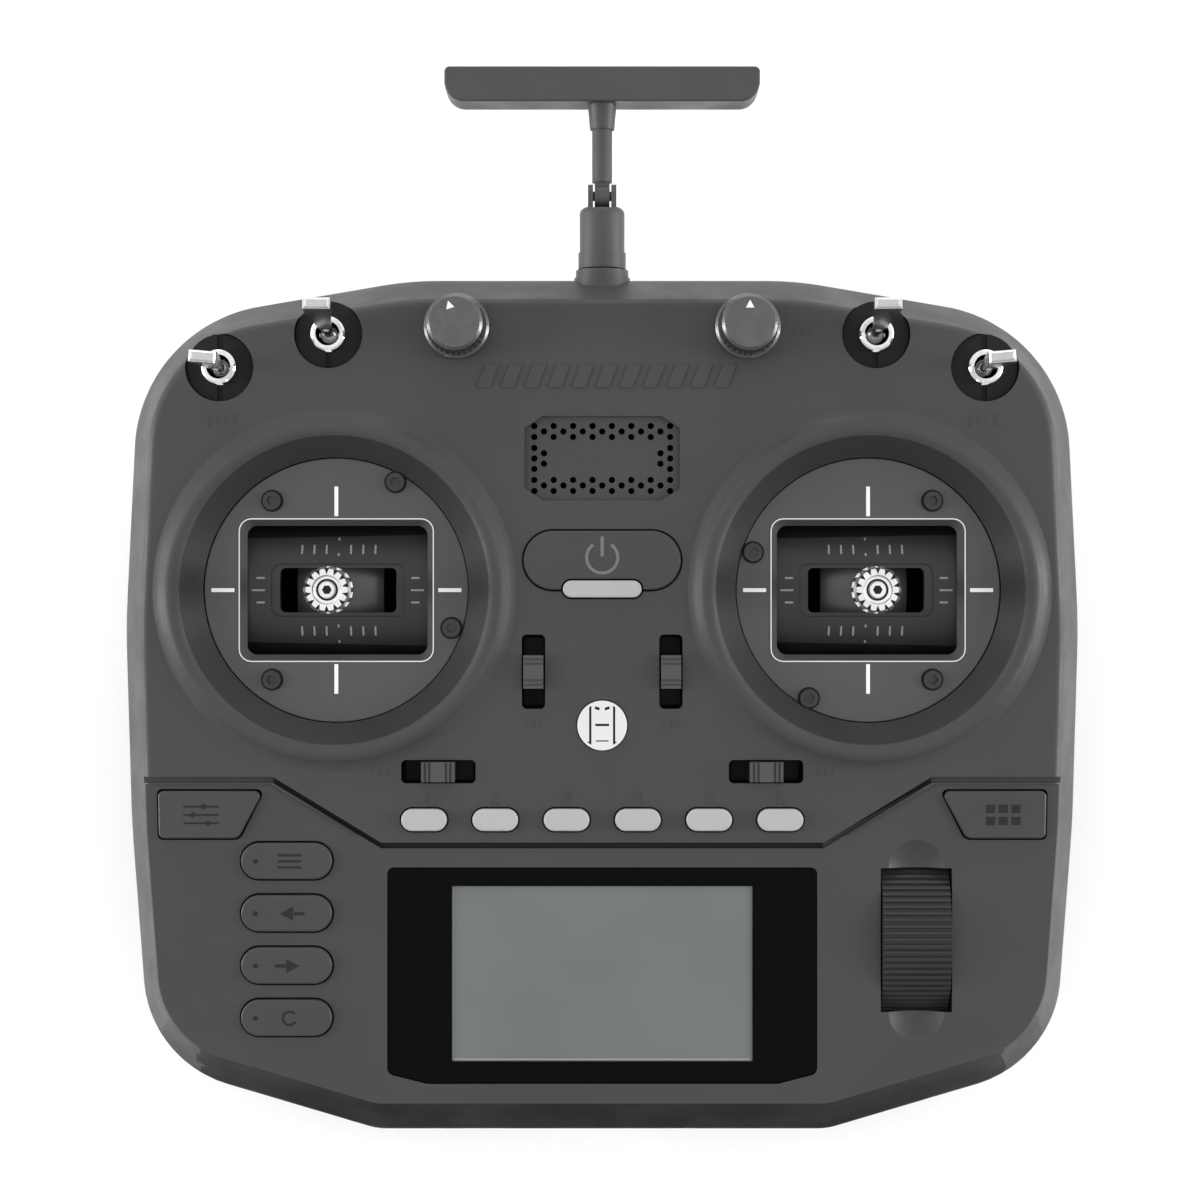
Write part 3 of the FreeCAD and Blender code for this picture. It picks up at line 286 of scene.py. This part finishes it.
# places and heights from here on are in millimetres, in the frame of the case
gimbal = {"x": 48.5, "y": 20.5, "pivot": 34.2, "barrel": 18.2, "plateTop": 55.0}
groove = {"low": 56.6, "high": 57.3, "near": -27.5, "far": -13.0, "halfWidth": 60.5,
          "keyEndX": 46, "keyEndY": -20}
switchRecess = {"low": 54.9, "high": 57.9, "radius": 6.3,
                "outer": (69.4, 60.9), "inner": (49.65, 66.9)}
slotWall = {"low": 54.5, "high": 56.9, "steep": 0.3}
ringShade = {"low": 55.3, "radius": 27.7, "steepest": 0.3, "flattest": 0.8}
flank = {"low": 26, "high": 57.6, "far": -50, "middleFar": -64, "middleHalfWidth": 66.5}
# the two bands of the flank, picked by normal, that take the painted shade
flankShadeBands = {"midFlankShade": (-0.74, -0.45), "lowFlankShade": (-1.1, -0.74)}   # turn toward the user
# painted shade: the cradle is black where its barrel curves away from the light
barrelHalf = 9.8     # the cradle is black beyond this, to the near and far side
# heights below which the trims and the switch bodies take painted shade
trimFoot = 54.4
switchFoot = 55.0


def nearRound(c, middle, radius):
    # within radius of a round place that both halves of the case have
    return (abs(c.x) - middle[0]) ** 2 + (c.y - middle[1]) ** 2 < radius ** 2


def inGroove(c):
    beyondKeys = c.x > groove["keyEndX"] and c.y < groove["keyEndY"]
    return (groove["low"] < c.z < groove["high"] and groove["near"] < c.y < groove["far"]
            and abs(c.x) < groove["halfWidth"] and not beyondKeys)


def inSwitchRecess(c):
    return (switchRecess["low"] < c.z < switchRecess["high"]
            and any(nearRound(c, switchRecess[row], switchRecess["radius"])
                    for row in ("outer", "inner")))


def onSlotWall(c, n):
    return slotWall["low"] < c.z < slotWall["high"] and abs(n.z) < slotWall["steep"]


# inner slope of each gimbal ring, which takes painted shade
def inRingShade(c, n):
    return (c.z > ringShade["low"] and ringShade["steepest"] < n.z < ringShade["flattest"]
            and nearRound(c, (gimbal["x"], gimbal["y"]), ringShade["radius"]))


def inFlankShade(c, n, band):
    # outside of the flank that turns toward the user, picked by how far it turns; these
    # faces take the painted shade
    outside = c.y < flank["middleFar"] or abs(c.x) > flank["middleHalfWidth"]
    return (band[0] <= n.y < band[1] and c.y < flank["far"]
            and flank["low"] < c.z < flank["high"] and outside)


# painted shade: black on the groove floor, in the switch recesses and on the walls of the key
# slots, for the shade that falls in them
paintFaces("front_shell", black,
           lambda c, n: inGroove(c) or inSwitchRecess(c) or onSlotWall(c, n))
# painted shade on the inner slope of each gimbal ring
paintFaces("front_shell", plastics["cone"], inRingShade)
# painted shade on the lower flank of both halves of the case
for name in ("front_shell", "rear_shell"):
    for finish, band in flankShadeBands.items():
        paintFaces(name, plastics[finish], lambda c, n: inFlankShade(c, n, band))
for side, sign in sides:
    # painted shade where the cradle barrel curves away, near and far
    paintFaces(side + "_gimbal_cradle", black,
               lambda c, n: abs(c.y - gimbal["y"]) > barrelHalf)
    # painted shade: the foot of each trim down in its slot is black
    for name in ("_upright_trim", "_lying_trim"):
        paintFaces(side + name, black, lambda c, n: c.z < trimFoot)
# painted shade: the switch bodies are black below the face, down in their recesses
paintFaces("switch_bodies", black, lambda c, n: c.z < switchFoot)
print("finishes set on", len(nodeFinish), "nodes")


def meshPiece(name, build, material, body):
    mesh = bpy.data.meshes.new(name)
    work = bmesh.new()
    build(work)
    bmesh.ops.recalc_face_normals(work, faces=work.faces)
    work.to_mesh(mesh)
    work.free()
    piece = bpy.data.objects.new(name, mesh)
    collection.objects.link(piece)
    mesh.materials.append(material)
    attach(piece, body)


def bandInto(work, loops, place=None):
    # skin over loops of (x, y), each at its own height
    place = place or (lambda v: v)
    rings = [[work.verts.new(place(Vector((x, y, z))) * mm) for x, y in loop]
             for loop, z in loops]
    count = len(rings[0])
    for a, b in zip(rings, rings[1:]):
        for i in range(count):
            j = (i + 1) % count
            work.faces.new((a[i], a[j], b[j], b[i]))
    return rings


def slabInto(work, outline, z0, z1, place=None):
    # closed slab over a flat outline
    low, high = bandInto(work, [(outline, z0), (outline, z1)], place)
    work.faces.new(high)
    work.faces.new(list(reversed(low)))


def printInto(work, outline, top, proud=0.05, sunk=0.02, place=None):
    # printed mark, a slab just proud of a surface at the height top
    slabInto(work, outline, top - sunk, top + proud, place)


def rectangle(x, y, width, height, turn=0.0):
    a = math.radians(turn)
    points = []
    for px, py in ((-1, -1), (1, -1), (1, 1), (-1, 1)):
        dx, dy = px * width / 2, py * height / 2
        points.append((x + dx * math.cos(a) - dy * math.sin(a),
                       y + dx * math.sin(a) + dy * math.cos(a)))
    return points


def dot(x, y, width, steps=8):
    # round outline, with the points of both ends doubled as in a pill without length
    angles = [-math.pi / 2 + math.pi * half + math.pi * i / steps
              for half in (0, 1) for i in range(steps + 1)]
    return [(x + width / 2 * math.cos(a), y + width / 2 * math.sin(a)) for a in angles]


def ringBand(x, y, inner, outer, start, stop, steps=28):
    # outline of part of a ring, angles in degrees
    angles = [math.radians(start + (stop - start) * i / steps) for i in range(steps + 1)]
    return ([(x + outer * math.cos(a), y + outer * math.sin(a)) for a in angles]
            + [(x + inner * math.cos(a), y + inner * math.sin(a)) for a in reversed(angles)])


def wholeRing(work, x, y, inner, outer, z0, z1):
    for start in (0, 180):
        slabInto(work, ringBand(x, y, inner, outer, start, start + 180, 12), z0, z1)


def roundedLoop(x, y, width, height, radius, steps=5):
    points = []
    for k, (sx, sy) in enumerate(((1, 1), (-1, 1), (-1, -1), (1, -1))):
        for i in range(steps + 1):
            a = math.radians(90 * k + 90 * i / steps)
            points.append((x + sx * (width / 2 - radius) + radius * math.cos(a),
                           y + sy * (height / 2 - radius) + radius * math.sin(a)))
    return points


# inset from the outer outline, corner radius and height of each edge of the chamfer
windowEdge = {"width": 35.7, "height": 26.3,
              "edges": [(0.0, 2.4, 54.98), (0.1, 2.3, 55.14), (0.5, 2.1, 55.14),
                        (1.1, 1.8, 54.3), (0.0, 2.4, 54.3), (0.0, 2.4, 54.98)]}


def windowFrame(work, x0):
    # bright chamfer round the window of the plate
    bandInto(work, [(roundedLoop(x0, gimbal["y"], windowEdge["width"] - inset,
                                 windowEdge["height"] - inset, radius), z)
                    for inset, radius, z in windowEdge["edges"]])


ticks = {"pitch": 2.25, "width": 0.34,
         "uprightY": 7.5, "upright": 1.7, "middleY": 8.0, "middle": 3.4,
         "lyingX": 14.2, "lying": 1.5, "middleX": 14.6, "lyingMiddle": 2.4}


def onBarrel(x0):
    # lays a flat mark, drawn as seen from above, onto the curved top of the cradle
    def place(v):
        lift = math.sqrt(max(gimbal["barrel"] ** 2 - v.y ** 2, 0.0)) + v.z
        return Vector((x0 + v.x, gimbal["y"] + v.y, gimbal["pivot"] + lift))
    return place


def cradleMarks(work, x0):
    place = onBarrel(x0)
    for way in (-1, 1):
        for k in range(-3, 4):
            y, length = ((ticks["middleY"], ticks["middle"]) if k == 0
                         else (ticks["uprightY"], ticks["upright"]))
            printInto(work, rectangle(k * ticks["pitch"], way * y, ticks["width"], length),
                      0, place=place)
        for k in range(-1, 2):
            x, length = ((ticks["middleX"], ticks["lyingMiddle"]) if k == 0
                         else (ticks["lyingX"], ticks["lying"]))
            printInto(work, rectangle(way * x, k * ticks["pitch"], length, ticks["width"]),
                      0, place=place)


plateLines = {"uprightY": 16.2, "upright": 5.4, "lyingX": 20.7, "lying": 4.2, "width": 0.7,
              "sunk": 0.01}


def plateMarks(work, x0):
    width, y0 = plateLines["width"], gimbal["y"]
    for way in (-1, 1):
        for outline in (rectangle(x0, y0 + way * plateLines["uprightY"],
                                  width, plateLines["upright"]),
                        rectangle(x0 + way * plateLines["lyingX"], y0,
                                  plateLines["lying"], width)):
            printInto(work, outline, gimbal["plateTop"], sunk=plateLines["sunk"])


stickTop = {"z": 70.5, "notches": 14, "outer": 3.85, "inner": 2.75, "halfAngle": 6.5,
            "cut": (-0.1, 0.02), "socket": 0.85, "socketSunk": (-0.4, -0.27),
            "neck": (1.55, 1.95), "neckSunk": (-0.75, -0.66)}


def stickCutShade(work, x0):
    # painted shade: dark slabs in the cuts between the teeth of the stick end, in the hex
    # socket of its lock screw and in the gap round that screw
    def atAngle(r, a):
        return (x0 + r * math.cos(a), gimbal["y"] + r * math.sin(a))

    def heights(pair):
        return stickTop["z"] + pair[0], stickTop["z"] + pair[1]

    half = math.radians(stickTop["halfAngle"])
    for i in range(stickTop["notches"]):
        a = 2 * math.pi * (i + 0.5) / stickTop["notches"]
        slabInto(work, [atAngle(stickTop["inner"], a), atAngle(stickTop["outer"], a - half),
                        atAngle(stickTop["outer"], a + half)], *heights(stickTop["cut"]))
    slabInto(work, [atAngle(stickTop["socket"], math.pi * k / 3) for k in range(6)],
             *heights(stickTop["socketSunk"]))
    wholeRing(work, x0, gimbal["y"], *stickTop["neck"], *heights(stickTop["neckSunk"]))


for side, sign in sides:
    x0 = sign * gimbal["x"]
    meshPiece(side + "_window_frame", lambda work: windowFrame(work, x0), chrome,
              "case")
    meshPiece(side + "_cradle_marks", lambda work: cradleMarks(work, x0), plastics["print"],
              side + "_cradle")
    meshPiece(side + "_plate_marks", lambda work: plateMarks(work, x0),
              plastics["brightPrint"], "case")
    meshPiece(side + "_stick_cut_shade", lambda work: stickCutShade(work, x0), black,
              side + "_stick")

screwSeat = {"inner": 1.62, "outer": 2.05, "proud": 0.03, "sunk": 0.02,
             "places": [(11.7, -16.3), (11.7, 16.3), (-10.8, -19.7), (-21.0, 6.9)]}


def screwShadows(work):
    # painted shadow: thin dark ring in the sunk seat round each screw head, mirrored on the
    # two plates
    top = gimbal["plateTop"]
    for side, sign in sides:
        for x, y in screwSeat["places"]:
            wholeRing(work, sign * (gimbal["x"] + x), gimbal["y"] + sign * y,
                      screwSeat["inner"], screwSeat["outer"],
                      top - screwSeat["sunk"], top + screwSeat["proud"])


meshPiece("screw_seat_shade", screwShadows, black, "case")

hook = {"x": 0.0, "y": -4.0, "barTop": 58.7,
        "gapX": 2.15, "gapWidth": 0.42, "gapLength": 7.9, "gapLow": 55.1, "gapHigh": 58.0,
        "cornerX": 0.9, "cornerY": -0.9, "corner": (0.9, 0.5), "cornerTurn": 20,
        "slotY": -3.9, "slot": (2.5, 0.42), "seamY": -6.8, "seam": (2.3, 0.22)}


def hookShadeLines(work):
    # painted shade: dark slabs in the gaps at both sides of the strap bar, in the cross slot
    # in the bar and at the corners of its far end; a dark seam round the cup
    top = hook["barTop"]
    for way in (-1, 1):
        slabInto(work, rectangle(way * hook["gapX"], hook["y"], hook["gapWidth"],
                                 hook["gapLength"]), hook["gapLow"], hook["gapHigh"])
        printInto(work, rectangle(way * hook["cornerX"], hook["cornerY"], *hook["corner"],
                                  way * hook["cornerTurn"]), top, 0.02, 0.03)
    printInto(work, rectangle(hook["x"], hook["slotY"], *hook["slot"]), top, 0.03, 0.04)
    printInto(work, rectangle(hook["x"], hook["seamY"], *hook["seam"]), top, 0.03, 0.04)


meshPiece("hook_gap_shade", hookShadeLines, black, "case")
print("gimbal and hook marks drawn")

seam = {"z": 38.0, "height": 0.34, "proud": 0.03, "inside": 0.6,
        "step": 3.0, "nearby": 0.02}   # step in degrees round the case


def pushOut(x, y, shift):
    share = 1 + shift / math.hypot(x, y)
    return x * share, y * share


def seamLine(work):
    # thin dark joint line between the two halves, laid along the edge of the front half
    edge = {}
    for vertex in nodes["front_shell"].data.vertices:
        x, y, z = vertex.co * toMm
        if abs(z - seam["z"]) < seam["nearby"]:
            key = round(math.degrees(math.atan2(y, x)) / seam["step"])
            if math.hypot(x, y) > math.hypot(*edge.get(key, (0, 0))):
                edge[key] = (x, y)
    loop = [edge[key] for key in sorted(edge)]
    outer = [pushOut(x, y, seam["proud"]) for x, y in loop]
    inner = [pushOut(x, y, -seam["inside"]) for x, y in loop]
    low, high = seam["z"] - seam["height"] / 2, seam["z"] + seam["height"] / 2
    bandInto(work, [(inner, low), (outer, low), (outer, high), (inner, high), (inner, low)])


meshPiece("case_seam", seamLine, black, "case")
print("seam of the case laid")

faceTop = 58.0
numbers = {"pitch": 12.9, "y": -17.2, "height": 2.1, "widthShare": 0.27, "stroke": 0.28,
           "proud": 0.04, "step": 0.002}
# strokes of each numeral between corners of a two by one grid, named a to f from the far left
numberStrokes = {1: "bf", 2: "ab bd cd ce ef", 3: "ab bf cd ef", 4: "ac cd bf",
                 5: "ab ac cd df ef", 6: "ab ae cd df ef"}


def digitStrokes(value, x, y):
    w, h = numbers["height"] * numbers["widthShare"], numbers["height"] / 2
    corners = {"a": (-w, h), "b": (w, h), "c": (-w, 0), "d": (w, 0), "e": (-w, -h),
               "f": (w, -h)}
    bars = []
    for start, stop in numberStrokes[value].split():
        (x0, y0), (x1, y1) = corners[start], corners[stop]
        lying = abs(x1 - x0) > abs(y1 - y0)
        length = math.hypot(x1 - x0, y1 - y0) + numbers["stroke"]
        bars.append(rectangle(x + (x0 + x1) / 2, y + (y0 + y1) / 2,
                              length if lying else numbers["stroke"],
                              numbers["stroke"] if lying else length))
    return bars


def numberRow(work):
    # each stroke a hair higher than the last, so that crossing tops don't share a plane
    for i in range(6):
        bars = digitStrokes(i + 1, (i - 2.5) * numbers["pitch"], numbers["y"])
        for k, bar in enumerate(bars):
            printInto(work, bar, faceTop, numbers["proud"] + numbers["step"] * k)


meshPiece("function_numbers", numberRow, plastics["faintPrint"], "case")

powerMark = {"top": 58.5, "y": 26.4, "inner": 2.55, "outer": 3.1, "start": 125, "stop": 415,
             "barY": 28.4, "barWidth": 0.6, "barLength": 3.6}


def powerSign(work):
    printInto(work, ringBand(0, powerMark["y"], powerMark["inner"], powerMark["outer"],
                             powerMark["start"], powerMark["stop"]), powerMark["top"])
    printInto(work, rectangle(0, powerMark["barY"], powerMark["barWidth"],
                              powerMark["barLength"]), powerMark["top"], 0.055)


meshPiece("power_sign", powerSign, plastics["softPrint"], "power_key")

# short dashes in place of lettering
trimDashes = {"places": [(12.46, -3.6), (40.4, -12.4)], "pitch": 1.3, "width": 0.4,
              "lengths": (0.9, 1.6, 0.9)}
switchDashes = {"places": [(68.9, 51.2)], "pitch": 1.5, "width": 0.45,
                "lengths": (2.4, 1.3, 1.3, 2.4)}
knobDashes = {"places": [(36.2, 67.2)], "pitch": 1.3, "width": 0.4,
              "lengths": (1.0, 1.7, 1.0)}


def dashes(work, *groups):
    for group in groups:
        middle = (len(group["lengths"]) - 1) / 2
        for x, y in group["places"]:
            for side, sign in sides:
                for k, length in enumerate(group["lengths"]):
                    dashX = sign * x + (k - middle) * group["pitch"]
                    printInto(work, rectangle(dashX, y, group["width"], length),
                              faceTop, 0.04)


meshPiece("trim_marks", lambda work: dashes(work, trimDashes), plastics["faintPrint"],
          "case")
meshPiece("switch_marks", lambda work: dashes(work, switchDashes, knobDashes),
          plastics["faintPrint"], "case")

menuKey = {"x": -57.2, "firstY": -28.6, "pitch": 9.47, "top": 58.4,
           "dotX": -5.6, "dot": 0.9, "signX": 0.6,
           "line": (4.2, 0.42), "linePitch": 1.1,
           "arrowTip": 1.7, "arrowBack": 0.6, "arrowHalf": 1.25, "shaft": (1.9, 0.6),
           "ring": (1.0, 1.4), "ringAngles": (40, 330)}


def menuMarks(work, row):
    # plain signs on the long keys, from the far one: bars, page left, page right, open ring
    y, top = menuKey["firstY"] - row * menuKey["pitch"], menuKey["top"]
    x = menuKey["x"] + menuKey["signX"]
    printInto(work, dot(menuKey["x"] + menuKey["dotX"], y, menuKey["dot"]), top)
    if row == 0:
        for k in (-1, 0, 1):
            printInto(work, rectangle(x, y + k * menuKey["linePitch"], *menuKey["line"]), top)
    elif row == 3:
        printInto(work, ringBand(x, y, *menuKey["ring"], *menuKey["ringAngles"]), top)
    else:
        way = -1 if row == 1 else 1
        tip, back = x + way * menuKey["arrowTip"], x - way * menuKey["arrowBack"]
        half = menuKey["arrowHalf"]
        printInto(work, [(tip, y), (back, y + half), (back, y - half)][::way], top)
        printInto(work, rectangle(x - way * menuKey["arrowTip"], y, *menuKey["shaft"]),
                  top, 0.06)


for row in range(4):
    meshPiece("menu_sign_%d" % (row + 1), lambda work: menuMarks(work, row),
              plastics["sunkPrint"], "menu_key_%d" % (row + 1))

taperKey = {"x": 72.6, "y": -20.2, "top": 58.4,
            "sliderPitch": 1.5, "slider": (6.4, 0.32), "knobs": (1.26, -1.54, 0.42),
            "knob": 0.95, "tile": (1.6, 1.5), "tilePitchX": 2.3, "tilePitchY": 2.2}


def sliderSign(work):
    for k, knobX in zip((-1, 0, 1), taperKey["knobs"]):
        y = taperKey["y"] + taperKey["sliderPitch"] * k
        printInto(work, rectangle(-taperKey["x"], y, *taperKey["slider"]), taperKey["top"])
        printInto(work, dot(-taperKey["x"] + knobX, y, taperKey["knob"]),
                  taperKey["top"], 0.06)


def tileSign(work):
    for k in (-1, 0, 1):
        for m in (-0.5, 0.5):
            printInto(work, rectangle(taperKey["x"] + taperKey["tilePitchX"] * k,
                                      taperKey["y"] + taperKey["tilePitchY"] * m,
                                      *taperKey["tile"]), taperKey["top"])


meshPiece("left_taper_sign", sliderSign, plastics["sunkPrint"], "left_taper_key")
meshPiece("right_taper_sign", tileSign, plastics["sunkPrint"], "right_taper_key")

pointer = {"x": 26.3, "y": 68.2, "tip": 3.9, "back": 2.5, "half": 0.75,
           "low": 65.98, "high": 66.06, "turn": {"left": 17, "right": 0}}


def knobPointer(work, side, sign):
    a = math.radians(pointer["turn"][side])
    corners = [(0, pointer["tip"]), (-pointer["half"], pointer["back"]),
               (pointer["half"], pointer["back"])]
    slabInto(work, [(sign * pointer["x"] + x * math.cos(a) - y * math.sin(a),
                     pointer["y"] + x * math.sin(a) + y * math.cos(a)) for x, y in corners],
             pointer["low"], pointer["high"])


for side, sign in sides:
    meshPiece(side + "_knob_pointer", lambda work: knobPointer(work, side, sign),
              plastics["brightPrint"], side + "_dial")

badgeBars = {"eachSide": 5, "pitch": 4.3, "half": 1.2, "lean": 1.6, "near": 57.2,
             "far": 61.4, "proud": 0.25, "sunk": 0.05}


def slantedBars(work):
    # plain slanted bars moulded above the grille, in place of a badge
    half, lean, reach = badgeBars["half"], badgeBars["lean"], badgeBars["eachSide"]
    near, far = badgeBars["near"], badgeBars["far"]
    for k in range(-reach, reach + 1):
        x = k * badgeBars["pitch"]
        printInto(work, [(x - half, near), (x + half, near), (x + half + lean, far),
                         (x - half + lean, far)], faceTop, badgeBars["proud"],
                  badgeBars["sunk"])


meshPiece("moulded_bars", slantedBars, plastics["case"], "case")

lcd = {"top": 57.22, "y": -49.1, "width": 54.5, "height": 31.8, "shorter": 0.6,
       "nearInset": 0.35, "nearWidth": 0.26, "sideInset": 0.2, "sideWidth": 0.12}


def lcdEdgeHighlight(work):
    # painted highlight: pale edge of the display panel along its near and left sides, where
    # the edge catches the light
    printInto(work, rectangle(0, lcd["y"] - lcd["height"] / 2 + lcd["nearInset"],
                              lcd["width"] - lcd["shorter"], lcd["nearWidth"]),
              lcd["top"], 0.02, 0.04)
    printInto(work, rectangle(-lcd["width"] / 2 + lcd["sideInset"], lcd["y"],
                              lcd["sideWidth"], lcd["height"] - lcd["shorter"]),
              lcd["top"], 0.02, 0.04)


meshPiece("lcd_edge_highlight", lcdEdgeHighlight, plastics["print"], "case")
print("marks of the face drawn")

# metres and watts
studio = {"floorHalf": 14.0, "floorZ": -0.0005, "floorColor": (0.93, 0.93, 0.93),
          "floorRoughness": 0.85,
          "skyStrength": 0.95, "nearSkyStrength": 0.62, "skyFrom": -0.8, "skyTo": -0.15,
          "aim": (0, 0, 0.05)}
softboxes = {
    "frontLeftSoftbox": {"place": (-0.75, 0.35, 1.0), "size": (0.7, 0.7), "power": 1.2},
    "frontRightSoftbox": {"place": (0.75, 0.35, 1.0), "size": (0.7, 0.7), "power": 1.2},
    "leftStrip": {"place": (-0.80, 0.0, 0.16), "size": (0.22, 0.7), "power": 8.0},
    "rightStrip": {"place": (0.80, 0.0, 0.16), "size": (0.22, 0.7), "power": 8.0},
    "topStrip": {"place": (0.0, 0.85, 0.22), "size": (0.7, 0.25), "power": 2.0},
}
cameraView = {"place": (-0.0004, 0.0187, 0.488), "lens": 71.2, "sensor": 36,
              "clipStart": 0.01}

half, floorZ = studio["floorHalf"], studio["floorZ"]
floorMesh = bpy.data.meshes.new("floor")
floorMesh.from_pydata([(-half, -half, floorZ), (half, -half, floorZ), (half, half, floorZ),
                       (-half, half, floorZ)], [], [(0, 1, 2, 3)])
floor = bpy.data.objects.new("floor", floorMesh)
collection.objects.link(floor)
floorPaint, floorShader, floorTree = newMaterial("floorPaint", studio["floorColor"],
                                                 studio["floorRoughness"])
floorMesh.materials.append(floorPaint)

# white studio that falls off to grey on the side nearest the user, low down
world = bpy.data.worlds.new("studioSky")
bpy.context.scene.world = world
world.use_nodes = True
sky = world.node_tree
skyCoords = addNode(sky, "ShaderNodeTexCoord")
skyParts = addNode(sky, "ShaderNodeSeparateXYZ")
skyFall = addNode(sky, "ShaderNodeMapRange",
                  {"From Min": studio["skyFrom"], "From Max": studio["skyTo"],
                   "To Min": studio["nearSkyStrength"], "To Max": studio["skyStrength"]},
                  interpolation_type="SMOOTHSTEP")
sky.links.new(skyCoords.outputs["Generated"], skyParts.inputs[0])
sky.links.new(skyParts.outputs["Y"], skyFall.inputs["Value"])
sky.links.new(skyFall.outputs["Result"], sky.nodes["Background"].inputs["Strength"])
sky.nodes["Background"].inputs["Color"].default_value = (1, 1, 1, 1)

for name, box in softboxes.items():
    light = bpy.data.lights.new(name, "AREA")
    light.shape = "RECTANGLE"
    light.size, light.size_y = box["size"]
    light.energy = box["power"]
    lamp = bpy.data.objects.new(name, light)
    lamp.location = box["place"]
    toward = Vector(studio["aim"]) - Vector(box["place"])
    lamp.rotation_euler = toward.to_track_quat("-Z", "Y").to_euler()
    collection.objects.link(lamp)

lens = bpy.data.cameras.new("camera")
lens.sensor_width = cameraView["sensor"]
lens.lens = cameraView["lens"]
lens.clip_start = cameraView["clipStart"]
camera = bpy.data.objects.new("camera", lens)
camera.location = cameraView["place"]
collection.objects.link(camera)
bpy.context.scene.camera = camera
bpy.context.scene.view_settings.view_transform = "Standard"
print("floor, lights and camera set")
